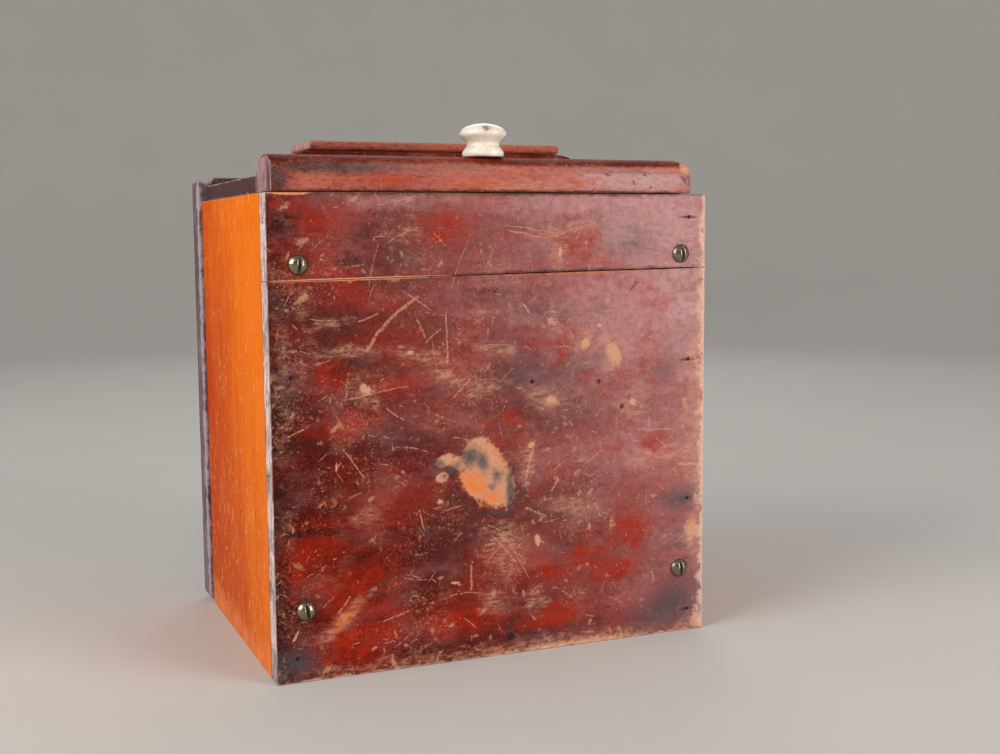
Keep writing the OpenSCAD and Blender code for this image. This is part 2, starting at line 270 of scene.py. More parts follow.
# The most of a thin board that one of its edges may take.
EDGE_SHARE = 0.45


def stations(low: float, high: float, step: float, fine: Sequence[float] = ()) -> Array:
    """Places of grid lines, close together near both ends and near chosen spots.

    Args:
        low: First place.
        high: Last place.
        step: Spacing far from the ends.
        fine: Spots that need close lines.

    Returns:
        The places in rising order.
    """
    span = high - low
    near = NEAR_LINES[NEAR_LINES < span * EDGE_SHARE]
    count = max(2, round((span - 2 * near[-1]) / step) + 1)
    inner = np.linspace(low + near[-1], high - near[-1], count)
    spots = [spot + SPOT_LINES for spot in fine]
    places = np.concatenate([low + near, inner, high - near, *spots])
    places = np.unique(np.round(places[(places >= low) & (places <= high)], 4))
    kept = [places[0]]
    for place in places[1:]:
        if place - kept[-1] >= LEAST_GAP:
            kept.append(place)
    kept[-1] = high
    return np.array(kept)


def eased(points: Array, low: Array, high: Array, radius: Array) -> Array:
    """Rounds the arrises of a box.

    Args:
        points: Points on the box.
        low: Lower corner of the box at each point.
        high: Upper corner of the box at each point.
        radius: Rounding at each point.

    Returns:
        The points with the arrises rounded.
    """
    reach = radius[:, None]
    inner = np.clip(points, low + reach, np.maximum(high - reach, low + reach))
    out = points - inner
    length = np.linalg.norm(out, axis=1)
    moved = length > 1e-9
    result = points.copy()
    result[moved] = inner[moved] + out[moved] * (radius[moved] / length[moved])[:, None]
    return result


def turned(points: Array, axis: Axis, centre: Sequence[float]) -> Array:
    """Points a piece that was made standing up along another way.

    Args:
        points: Points of the piece, made along Z.
        axis: The way that it shall point.
        centre: Where its foot goes.

    Returns:
        The points in place.
    """
    x, y, z = points.T
    ways = {
        Axis.RIGHT: (z, x, y),
        Axis.FORWARD: (x, -z, y),
        Axis.BACKWARD: (x, z, -y),
        Axis.UP: (x, y, z),
    }
    return np.stack(ways[axis], axis=1) + np.array(centre)


def lathe(profile: Outline, steps: int, ring: bool = False) -> Shell:
    """Turns an outline round Z.

    Args:
        profile: Pairs of height and radius, from the foot up; a radius of 0 closes an end.
        steps: Number of steps round.
        ring: Whether the outline closes on itself, as a sleeve's does.

    Returns:
        The turned skin.
    """
    angles = np.linspace(0, math.tau, steps, endpoint=False)
    points: list[Triple] = []
    rows: list[list[int]] = []
    for height, radius in profile:
        start = len(points)
        if radius <= 0:
            points.append((0.0, 0.0, height))
            rows.append([start] * steps)
            continue
        points += [(radius * math.cos(a), radius * math.sin(a), height) for a in angles]
        rows.append(list(range(start, start + steps)))
    pairs = list(zip(rows, rows[1:] + rows[:1])) if ring else list(zip(rows, rows[1:]))
    faces: Faces = []
    for lower, upper in pairs:
        for a in range(steps):
            b = (a + 1) % steps
            corners = (lower[a], lower[b], upper[b], upper[a])
            faces.append(tuple(dict.fromkeys(corners)))
    return Shell(np.array(points), faces, [Side.TOP] * len(faces))


@dataclass(frozen=True)
class Mark:
    """One worn or dirty spot on a board, or a patch of painted sheen or painted shadow, in millimetres; its
    sizes are half lengths.
    """

    stain: Stain
    x: float
    z: float
    along: float
    across: float
    turn: float = 0.0
    strength: float = 1.0

    def depth(self, points: Array) -> Array:
        """How far inside the spot points lie.

        Args:
            points: Points in millimetres.

        Returns:
            1 in the middle, 0.5 on the rim and 0 well outside.
        """
        angle = math.radians(self.turn)
        dx = points[:, 0] - self.x
        dz = points[:, 2] - self.z
        along = (dx * math.cos(angle) + dz * math.sin(angle)) / self.along
        across = (dz * math.cos(angle) - dx * math.sin(angle)) / self.across
        return np.clip(1 - 0.5 * np.hypot(along, across), 0, 1) * self.strength


MarkTable = dict[Stain, tuple[tuple[float, ...], ...]]


def marks_of(table: MarkTable) -> list[Mark]:
    """The marks that a table gives for each stain."""
    return [Mark(stain, *place) for stain, places in table.items() for place in places]


def stained(marks: Sequence[Mark], points: Array) -> dict[str, Array]:
    """How deep points lie in the marks of each stain that has any, by the stain's name."""
    depths = {stain: [mark.depth(points) for mark in marks if mark.stain is stain] for stain in Stain}
    return {stain.value: np.max(found, axis=0) for stain, found in depths.items() if found}


@dataclass(frozen=True)
class Pit:
    """A small round hole in a board's face, in millimetres; rim and slope are shares of its radius."""

    x: float
    z: float
    radius: float
    depth: float
    rim: float = 1.25
    slope: float = 0.35


@dataclass(frozen=True)
class Score:
    """A long scratch on the front, from one end to the other, in millimetres."""

    start: tuple[float, float]
    end: tuple[float, float]
    width: float

    def feeds(self) -> Feeds:
        """Where the scratch lies.

        Returns:
            Middle, turn and size by the effect's input name.
        """
        (x1, z1), (x2, z2) = self.start, self.end
        length = math.hypot(x2 - x1, z2 - z1)
        return {
            "Middle": ((x1 + x2) / 2, (z1 + z2) / 2, 0.0),
            "Turn": (0.0, 0.0, math.atan2(z2 - z1, x2 - x1)),
            "Size": (length, self.width, 1.0),
        }


# Sizes and shares of the unevenness of arrises, nicks and faces, in millimetres.
ARRIS_LAYERS = ((9.0, 0.6), (2.6, 0.4))
NICK_LAYERS = ((5.0, 0.7), (1.7, 0.5))
NICK_START = 0.34
WAVE_LAYERS = ((38.0, 0.35), (11.0, 0.15))
LEAST_ARRIS = 0.05
ON_FACE = 0.01


@dataclass
class Board:
    """A worn board made of fine grids, with uneven arrises. All sizes are millimetres."""

    low: Array
    high: Array
    seed: int
    step: float = 3.0
    arris: float = 0.5
    unevenness: float = 0.5
    nick: float = 0.0
    wave: float = 0.12
    fine_x: Sequence[float] = ()
    fine_y: Sequence[float] = ()
    fine_z: Sequence[float] = ()
    top: Rule | None = None
    foot: Rule | None = None
    pits: Sequence[Pit] = ()
    pit_side: Side = Side.FRONT
    marks: Sequence[Mark] = ()
    wear: dict[Side, float] = field(default_factory=dict)
    sharp: dict[Side, float] = field(default_factory=dict)
    fade: Rule | None = None
    blend: float = 3.0
    light_wear: float = 0.6

    @staticmethod
    def corners(node: str) -> Corners:
        """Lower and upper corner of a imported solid, in millimetres."""
        low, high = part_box(node)
        return np.array(low) / MM, np.array(high) / MM

    @classmethod
    def of(cls, node: str, seed: int, **sizes: object) -> "Board":
        """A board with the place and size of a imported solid."""
        low, high = cls.corners(node)
        return cls(low, high, seed, **sizes)

    def bounds(self, points: Array) -> Corners:
        """Lower and upper corner of the board as they are at each point.

        Args:
            points: Points on the board.

        Returns:
            The two corners for every point.
        """
        low = np.tile(self.low, (len(points), 1))
        high = np.tile(self.high, (len(points), 1))
        if self.foot is not None:
            low[:, 2] = self.foot(points)
        if self.top is not None:
            high[:, 2] = self.top(points)
        return low, high

    @staticmethod
    def _gaps(points: Array, low: Array, high: Array) -> Array:
        """Distance of each point from the six faces, in the order of the sides."""
        return np.stack([points - low, high - points], axis=2).reshape(len(points), 6)

    def _rubbing(self, points: Array, low: Array, high: Array) -> Array:
        """How far points lie from the arrises, in shares of the pale band there, which is rubbing and on
        some boards partly a painted highlight.

        Args:
            points: Points on the sharp board.
            low: Lower corner at each point.
            high: Upper corner at each point.

        Returns:
            0 on an arris, 1 where the pale band ends.
        """
        gaps = self._gaps(points, low, high)
        shares = gaps / np.array([self.wear.get(side, self.light_wear) for side in Side])
        shares[np.arange(len(points)), gaps.argmin(axis=1)] = np.inf
        return shares.min(axis=1)

    def worn(self, points: Array, low: Array, high: Array) -> Array:
        """Rounds the arrises, with nicks, and makes the faces uneven.

        Args:
            points: Points on the sharp board.
            low: Lower corner at each point.
            high: Upper corner at each point.

        Returns:
            The worn points, never outside the sharp board.
        """
        noise = Lattice(self.seed)
        radius = self.arris * (1 + self.unevenness * noise.layered(points, ARRIS_LAYERS))
        radius += self.nick * np.clip(noise.layered(points, NICK_LAYERS) - NICK_START, 0, 1)
        gaps = self._gaps(points, low, high)
        for side, sharp in self.sharp.items():
            radius = sharp + (radius - sharp) * np.clip(gaps[:, side.value] / self.blend, 0, 1)
        thin = (high - low).min(axis=1) * EDGE_SHARE
        worn = eased(points, low, high, np.clip(radius, LEAST_ARRIS, thin))
        sink = self.wave * (0.5 + noise.layered(points, WAVE_LAYERS))
        return np.clip(worn, low + sink[:, None], high - sink[:, None])

    def pitted(self, worn: Array, points: Array) -> Array:
        """Presses the small holes into the face that carries them.

        Args:
            worn: Points to move.
            points: The same points before wear.

        Returns:
            The points with the holes.
        """
        inward = 1 if self.pit_side is Side.FRONT else -1
        face = self.low[1] if self.pit_side is Side.FRONT else self.high[1]
        for pit in self.pits:
            reach = np.hypot(points[:, 0] - pit.x, points[:, 2] - pit.z)
            share = np.clip((pit.radius * pit.rim - reach) / (pit.radius * pit.slope), 0, 1)
            near = np.abs(points[:, 1] - face) < ON_FACE
            worn[:, 1] += np.where(near, inward * pit.depth * share, 0)
        return worn

    def build(self) -> Shell:
        """Makes the skin of the board.

        Returns:
            The skin, with its distance from the arrises and its marks as values.
        """
        shell = box_shell(
            stations(self.low[0], self.high[0], self.step, self.fine_x),
            stations(self.low[1], self.high[1], self.step, self.fine_y),
            stations(self.low[2], self.high[2], self.step, self.fine_z),
        )
        points = shell.points
        low, high = self.bounds(points)
        share = (points[:, 2] - self.low[2]) / (self.high[2] - self.low[2])
        points[:, 2] = low[:, 2] + share * (high[:, 2] - low[:, 2])
        shell.values["edge"] = self._rubbing(points, low, high)
        if self.fade is not None:
            shell.values["fade"] = self.fade(points)
        shell.values |= stained(self.marks, points)
        shell.points = self.pitted(self.worn(points, low, high), points)
        return shell


class Wiring:
    """Adds and links the nodes of one shader tree."""

    def __init__(self, tree: Tree) -> None:
        """Keeps the tree to work on."""
        self.tree = tree

    def feed(self, socket: Socket, value: Feed) -> None:
        """Links a socket, or sets its constant.

        Args:
            socket: The socket.
            value: The constant, or the socket that it is linked to.
        """
        if isinstance(value, bpy.types.NodeSocket):
            self.tree.links.new(value, socket)
        else:
            socket.default_value = value

    def node(self, kind: str, feeds: Feeds | None = None, **settings: object) -> bpy.types.Node:
        """Adds one node.

        Args:
            kind: The node's type.
            feeds: Values or links by input name or number.
            settings: Plain settings of the node.

        Returns:
            The new node.
        """
        made = self.tree.nodes.new(kind)
        for key, value in settings.items():
            setattr(made, key, value)
        for key, value in (feeds or {}).items():
            self.feed(made.inputs[key], value)
        return made

    def first(self, kind: str, *values: Feed, **settings: object) -> Socket:
        """Adds a node that is fed in the order of its inputs, and gives its first output."""
        return self.node(kind, dict(enumerate(values)), **settings).outputs[0]

    def math(self, operation: str, *values: Feed) -> Socket:
        """Works out one number from others."""
        return self.first("ShaderNodeMath", *values, operation=operation)

    def total(self, *values: Feed) -> Socket:
        """Adds up numbers."""
        return functools.reduce(lambda sum_of, value: self.math("ADD", sum_of, value), values)

    def times(self, *values: Feed) -> Socket:
        """Multiplies numbers."""
        return functools.reduce(lambda product, value: self.math("MULTIPLY", product, value), values)

    def most(self, first: Feed, second: Feed) -> Socket:
        """The larger of two numbers."""
        return self.math("MAXIMUM", first, second)

    def scaled(self, value: Feed, share: Feed, start: Feed) -> Socket:
        """Adds a share of a number to a start."""
        return self.math("MULTIPLY_ADD", value, share, start)

    def swing(self, value: Feed, reach: float) -> Socket:
        """Turns a value round 0.5 into one round 0, as wide as the reach."""
        return self.scaled(value, reach, -0.5 * reach)

    def vector(self, operation: str, *values: Feed) -> Socket:
        """Works out one vector from others."""
        return self.first("ShaderNodeVectorMath", *values, operation=operation)

    def join(self, x: Feed, y: Feed, z: Feed) -> Socket:
        """Makes a vector from three numbers."""
        return self.first("ShaderNodeCombineXYZ", x, y, z)

    def split(self, vector: Feed) -> tuple[Socket, Socket, Socket]:
        """Takes a vector apart into three numbers."""
        made = self.node("ShaderNodeSeparateXYZ", {"Vector": vector})
        return made.outputs[0], made.outputs[1], made.outputs[2]

    def ramp(self, value: Feed, low: Feed, high: Feed, start: float = 0.0, end: float = 1.0) -> Socket:
        """Eases a value from start to end while it runs from low to high."""
        settings = {"clamp": False, "interpolation_type": "SMOOTHSTEP"}
        return self.first("ShaderNodeMapRange", value, low, high, start, end, **settings)

    def mix(self, share: Feed, first: Feed, second: Feed) -> Socket:
        """Mixes two colours."""
        return self.node("ShaderNodeMix", {0: share, 6: first, 7: second}, data_type="RGBA").outputs[2]

    def noise(self, place: Feed, size: Feed, detail: float, rough: float) -> bpy.types.NodeOutputs:
        """Soft noise.

        Args:
            place: Place in millimetres.
            size: Size of its lumps in millimetres.
            detail: Number of finer layers.
            rough: Strength of the finer layers.

        Returns:
            A value round 0.5 and a colour.
        """
        scale = self.math("DIVIDE", 1.0, size)
        feeds = {"Vector": place, "Scale": scale, "Detail": detail, "Roughness": rough}
        return self.node("ShaderNodeTexNoise", feeds).outputs

    def cloud(self, place: Feed, size: Feed, detail: float = 2.0, rough: float = 0.55) -> Socket:
        """Soft noise as one value round 0.5."""
        return self.noise(place, size, detail, rough)["Fac"]

    def warp(self, place: Feed, size: Feed, reach: Feed) -> Socket:
        """Shifts places about by soft noise of a size, about as far as the reach."""
        off = self.vector("SUBTRACT", self.noise(place, size, 3.0, 0.5)["Color"], (0.5, 0.5, 0.5))
        return self.vector("ADD", place, self.vector("MULTIPLY", off, self.join(reach, reach, reach)))

    def value_of(self, name: str) -> Socket:
        """Reads a value that the mesh carries for each point."""
        made = self.node("ShaderNodeAttribute", attribute_name=name, attribute_type="GEOMETRY")
        return made.outputs["Fac"]

    def effect(self, group: Tree, feeds: Feeds) -> dict[str, Socket]:
        """Places a shared effect and gives its outputs by name."""
        made = self.node("ShaderNodeGroup", feeds, node_tree=group)
        return {socket.name: socket for socket in made.outputs}


class Effect(Wiring):
    """A shader node group with named inputs and outputs."""

    seed_shift = 17.31

    def __init__(self, name: str, inputs: dict[str, float | None], outputs: Sequence[str]) -> None:
        """Makes the group and its sockets.

        Args:
            name: Name of the effect.
            inputs: Starting values by input name; None makes a vector input.
            outputs: Names of the values that it puts out.
        """
        super().__init__(bpy.data.node_groups.new(name, "ShaderNodeTree"))
        sockets = self.tree.interface
        for label, start in inputs.items():
            kind = "NodeSocketVector" if start is None else "NodeSocketFloat"
            made = sockets.new_socket(name=label, in_out="INPUT", socket_type=kind)
            if start is not None:
                made.default_value = start
        for label in outputs:
            sockets.new_socket(name=label, in_out="OUTPUT", socket_type="NodeSocketFloat")
        self.given = self.tree.nodes.new("NodeGroupInput").outputs
        self.result = self.tree.nodes.new("NodeGroupOutput").inputs

    def give(self, name: str, value: Socket) -> None:
        """Links a result to the output of that name."""
        self.feed(self.result[name], value)

    def scattered(
        self, place: Socket, turn: Callable[[Socket], Socket]
    ) -> tuple[Socket, Socket, bpy.types.NodeOutputs]:
        """Places round the middle of the nearest cell, turned by chance.

        Args:
            place: Place in millimetres.
            turn: Gives the angle from a chance value.

        Returns:
            X and Y from the cell's middle in millimetres, and three chance values of the cell.
        """
        cell = self.given["Cell"]
        shift = self.times(self.given["Seed"], self.seed_shift)
        scaled = self.vector("DIVIDE", place, self.join(cell, cell, cell))
        scaled = self.vector("ADD", scaled, self.join(shift, shift, 0.0))
        feeds = {"Vector": scaled, "Scale": 1.0}
        spread = self.node("ShaderNodeTexVoronoi", feeds, voronoi_dimensions="2D")
        chance = self.node("ShaderNodeSeparateColor", {"Color": spread.outputs["Color"]}).outputs
        local = self.vector("SUBTRACT", scaled, spread.outputs["Position"])
        feeds = {"Vector": local, "Angle": turn(chance[0])}
        x, y, _ = self.split(self.node("ShaderNodeVectorRotate", feeds, rotation_type="Z_AXIS").outputs[0])
        return self.times(x, cell), self.times(y, cell), chance


@functools.cache
def grain_effect() -> Tree:
    """Streaks, broad figure and pores of sawn wood; X runs along the grain.

    Returns:
        The node group.
    """
    e = Effect("Wood grain", {"Place": None, "Length": 70.0, "Width": 1.0}, ["Streaks", "Figure", "Pores"])
    length, width = e.given["Length"], e.given["Width"]
    bend = e.cloud(e.given["Place"], 45.0, 1.0)
    lift = e.times(e.math("SUBTRACT", bend, 0.5), 9.0)
    place = e.vector("ADD", e.given["Place"], e.join(0.0, lift, 0.0))
    streaks = e.vector("DIVIDE", place, e.join(length, width, width))
    e.give("Streaks", e.cloud(streaks, 1.0, 3.0, 0.6))
    broad = e.times(width, 9.0)
    figure = e.vector("DIVIDE", place, e.join(e.times(length, 2.0), broad, broad))
    e.give("Figure", e.cloud(figure, 1.0, 2.0, 0.5))
    pore = e.times(width, 0.28)
    pores = e.vector("DIVIDE", place, e.join(e.times(length, 0.1), pore, pore))
    e.give("Pores", e.ramp(e.cloud(pores, 1.0, 1.0), 0.6, 0.72))
    return e.tree


@functools.cache
def scratch_effect() -> Tree:
    """Scattered short scratches, one to a cell, at chance angles.

    Returns:
        The node group.
    """
    inputs = {"Place": None, "Cell": 12.0, "Length": 8.0, "Width": 0.15, "Share": 0.5}
    e = Effect("Scratches", {**inputs, "Turn": 0.0, "Spread": 6.28, "Seed": 0.0}, ["Mask"])

    def turn(chance: Socket) -> Socket:
        """The scratch's angle."""
        return e.scaled(e.math("SUBTRACT", chance, 0.5), e.given["Spread"], e.given["Turn"])

    x, y, chance = e.scattered(e.given["Place"], turn)
    bow = e.times(e.math("DIVIDE", e.times(x, x), e.given["Cell"]), e.swing(chance[1], 1.0))
    half = e.times(e.given["Length"], e.scaled(chance[1], 0.35, 0.2))
    width = e.times(e.given["Width"], e.scaled(chance[0], 0.8, 0.5))
    line = e.ramp(e.math("ABSOLUTE", e.total(y, bow)), e.times(width, 0.3), width, 1.0, 0.0)
    ends = e.ramp(e.math("ABSOLUTE", x), e.times(half, 0.5), half, 1.0, 0.0)
    chosen = e.math("LESS_THAN", chance[2], e.given["Share"])
    broken = e.ramp(e.cloud(e.given["Place"], 1.3, 1.0), 0.36, 0.52)
    e.give("Mask", e.times(line, ends, chosen, broken))
    return e.tree


@functools.cache
def chip_effect() -> Tree:
    """Scattered chips with ragged rims, one to a cell, drawn out at chance angles.

    Returns:
        The node group.
    """
    inputs = {"Place": None, "Cell": 8.0, "Size": 1.2, "Share": 0.3, "Slim": 1.8, "Seed": 0.0}
    e = Effect("Chips", inputs, ["Mask"])
    size = e.given["Size"]
    frayed = e.warp(e.given["Place"], e.times(size, 0.9), e.times(size, 2.6))
    x, y, chance = e.scattered(frayed, lambda angle: e.times(angle, math.tau))
    along = e.math("DIVIDE", x, e.scaled(chance[1], e.given["Slim"], 1.0))
    reach = e.math("SQRT", e.total(e.times(along, along), e.times(y, y)))
    radius = e.times(size, e.scaled(chance[0], 0.5, 0.35))
    spot = e.ramp(reach, e.times(radius, 0.4), e.times(radius, 1.15), 1.0, 0.0)
    chosen = e.math("LESS_THAN", chance[2], e.given["Share"])
    e.give("Mask", e.times(spot, chosen, e.scaled(chance[1], 0.85, 0.15)))
    return e.tree


@functools.cache
def score_effect() -> Tree:
    """One long scratch, added to the mask of those before it.

    Returns:
        The node group.
    """
    inputs = {"Place": None, "Middle": None, "Turn": None, "Size": None, "Before": 0.0}
    e = Effect("Long scratch", inputs, ["Mask"])
    feeds = {"Vector": "Place", "Location": "Middle", "Rotation": "Turn", "Scale": "Size"}
    feeds = {key: e.given[label] for key, label in feeds.items()}
    local = e.node("ShaderNodeMapping", feeds, vector_type="TEXTURE").outputs[0]
    along, across, _ = e.split(e.vector("ABSOLUTE", local))
    line = e.times(e.ramp(across, 0.3, 1.0, 1.0, 0.0), e.ramp(along, 0.4, 0.5, 1.0, 0.0))
    e.give("Mask", e.most(line, e.given["Before"]))
    return e.tree


@functools.cache
def patch_effect() -> Tree:
    """A ragged patch where the mesh carries a mark.

    Returns:
        The node group.
    """
    e = Effect("Ragged patch", {"Depth": 0.0, "Place": None, "Grit": 4.0, "Ragged": 0.8}, ["Mask", "Soft"])
    rough = e.math("SUBTRACT", e.cloud(e.given["Place"], e.given["Grit"], 4.0, 0.6), 0.5)
    level = e.scaled(rough, e.given["Ragged"], e.given["Depth"])
    e.give("Mask", e.ramp(level, 0.42, 0.58))
    e.give("Soft", e.ramp(level, 0.28, 0.85))
    return e.tree


@functools.cache
def edge_effect() -> Tree:
    """Rubbing along the arrises, in broken stretches; on some boards it is partly a painted highlight.

    Returns:
        The node group.
    """
    e = Effect("Edge wear and glint", {"Edge": 0.0, "Place": None, "Reach": 1.5, "Breaks": 9.0}, ["Mask"])
    broken = e.cloud(e.given["Place"], e.given["Breaks"], 4.0, 0.65)
    reach = e.times(e.given["Reach"], e.ramp(broken, 0.34, 0.68, 0.25, 1.6))
    e.give("Mask", e.ramp(e.given["Edge"], e.times(reach, 0.15), reach, 1.0, 0.0))
    return e.tree


@functools.cache
def rub_effect() -> Tree:
    """Fine rubbing that breaks the finish into soft specks inside worn zones.

    Returns:
        The node group.
    """
    inputs = {"Place": None, "Zone": 24.0, "Speck": 1.3, "Amount": 0.5}
    e = Effect("Rubbing", inputs, ["Mask", "Zone", "Mottle", "Micro"])
    place = e.given["Place"]
    zone = e.ramp(e.cloud(place, e.given["Zone"], 3.0, 0.6), 0.34, 0.74)
    speck = e.cloud(place, e.given["Speck"], 5.0, 0.75)
    level = e.scaled(zone, 0.35, speck)
    start = e.math("SUBTRACT", 0.98, e.times(e.given["Amount"], 0.42))
    e.give("Mask", e.ramp(level, start, e.total(start, 0.2)))
    e.give("Zone", zone)
    e.give("Mottle", e.cloud(place, e.times(e.given["Speck"], 2.3), 4.0, 0.68))
    e.give("Micro", e.cloud(place, e.times(e.given["Speck"], 0.6), 2.0, 0.6))
    return e.tree


@functools.cache
def tarnish_effect() -> Tree:
    """Dark film, pitting and hair scratches on old metal.

    Returns:
        The node group.
    """
    e = Effect("Tarnish", {"Place": None, "Size": 1.6, "Amount": 0.5}, ["Film", "Pits", "Hairs"])
    film = e.total(e.cloud(e.given["Place"], e.given["Size"], 5.0, 0.65), e.given["Amount"])
    e.give("Film", e.ramp(film, 0.82, 1.16))
    fine = e.times(e.given["Size"], 0.22)
    e.give("Pits", e.ramp(e.cloud(e.given["Place"], fine, 2.0), 0.56, 0.7))
    hair = e.vector("MULTIPLY", e.given["Place"], (0.6, 9.0, 9.0))
    e.give("Hairs", e.ramp(e.cloud(hair, 1.0, 2.0), 0.58, 0.68))
    return e.tree


class Finish(Protocol):
    """Anything that can dress a surface."""

    name: str

    def material(self) -> Material:
        """Makes the material."""
        ...


class Coat(Wiring):
    """A material in the making, with the place on its surface in millimetres."""

    def __init__(self, name: str, lay: Lay = Lay.PLAIN) -> None:
        """Starts the material.

        Args:
            name: Name of the material.
            lay: How the grain lies; X of the place runs along it.
        """
        self.made = bpy.data.materials.new(name)
        self.made.use_nodes = True
        super().__init__(self.made.node_tree)
        self.shader = self.tree.nodes["Principled BSDF"].inputs
        place = self.node("ShaderNodeTexCoord").outputs["Object"]
        self.place = self._laid(self.vector("DIVIDE", place, (MM, MM, MM)), lay)

    def _laid(self, place: Socket, lay: Lay) -> Socket:
        """Turns a place so that its X runs along the grain.

        Args:
            place: Place in the frame.
            lay: How the grain lies.

        Returns:
            The turned place.
        """
        if lay is Lay.PLAIN:
            return place
        x, y, z = self.split(place)
        if lay is Lay.ACROSS:
            return self.join(x, z, y)
        if lay is Lay.UPRIGHT:
            return self.join(z, y, x)
        along, other = (z, x) if lay is Lay.BACKED else (x, z)
        return self.join(along, self.total(other, y), self.math("SUBTRACT", other, y))

    def edge(self, reach: float, breaks: float) -> Socket:
        """Where the arrises are rubbed or carry a painted highlight, in stretches of about the size of the
        breaks.
        """
        feeds = {"Edge": self.value_of("edge"), "Place": self.place, "Reach": reach, "Breaks": breaks}
        return self.effect(edge_effect(), feeds)["Mask"]

    def layered(self, group: Tree, layers: Iterable[Feeds]) -> Socket:
        """Puts several layers of one effect over each other.

        Args:
            group: The node group of the effect.
            layers: Values or links of each layer, by input name.

        Returns:
            One mask of all the layers.
        """
        mask: Feed = 0.0
        for feeds in layers:
            mask = self.most(self.effect(group, {"Place": self.place, **feeds})["Mask"], mask)
        return mask

    def done(
        self, feeds: Feeds, height: Socket, strength: float, depth: float
    ) -> Material:
        """Feeds the shader.

        Args:
            feeds: Values or links by the shader's input name.
            height: Relief of the surface.
            strength: How strongly the relief shows.
            depth: Depth of the relief in millimetres.

        Returns:
            The finished material.
        """
        relief = {"Height": height, "Strength": strength, "Distance": depth * MM}
        normal = self.node("ShaderNodeBump", relief).outputs[0]
        for key, value in {**feeds, "Normal": normal}.items():
            self.feed(self.shader[key], value)
        return self.made


# Size of the grit, in millimetres, and raggedness of each stain's rim.
PATCHES: dict[Stain, tuple[float, float]] = {
    Stain.RED: (9.0, 0.9),
    Stain.HAZE: (8.0, 1.0),
    Stain.GRIME: (4.0, 1.0),
    Stain.SCUFF: (5.0, 1.1),
    Stain.BARE: (1.6, 0.42),
    Stain.AMBER: (2.6, 0.6),
    Stain.SLATE: (3.0, 0.8),
}


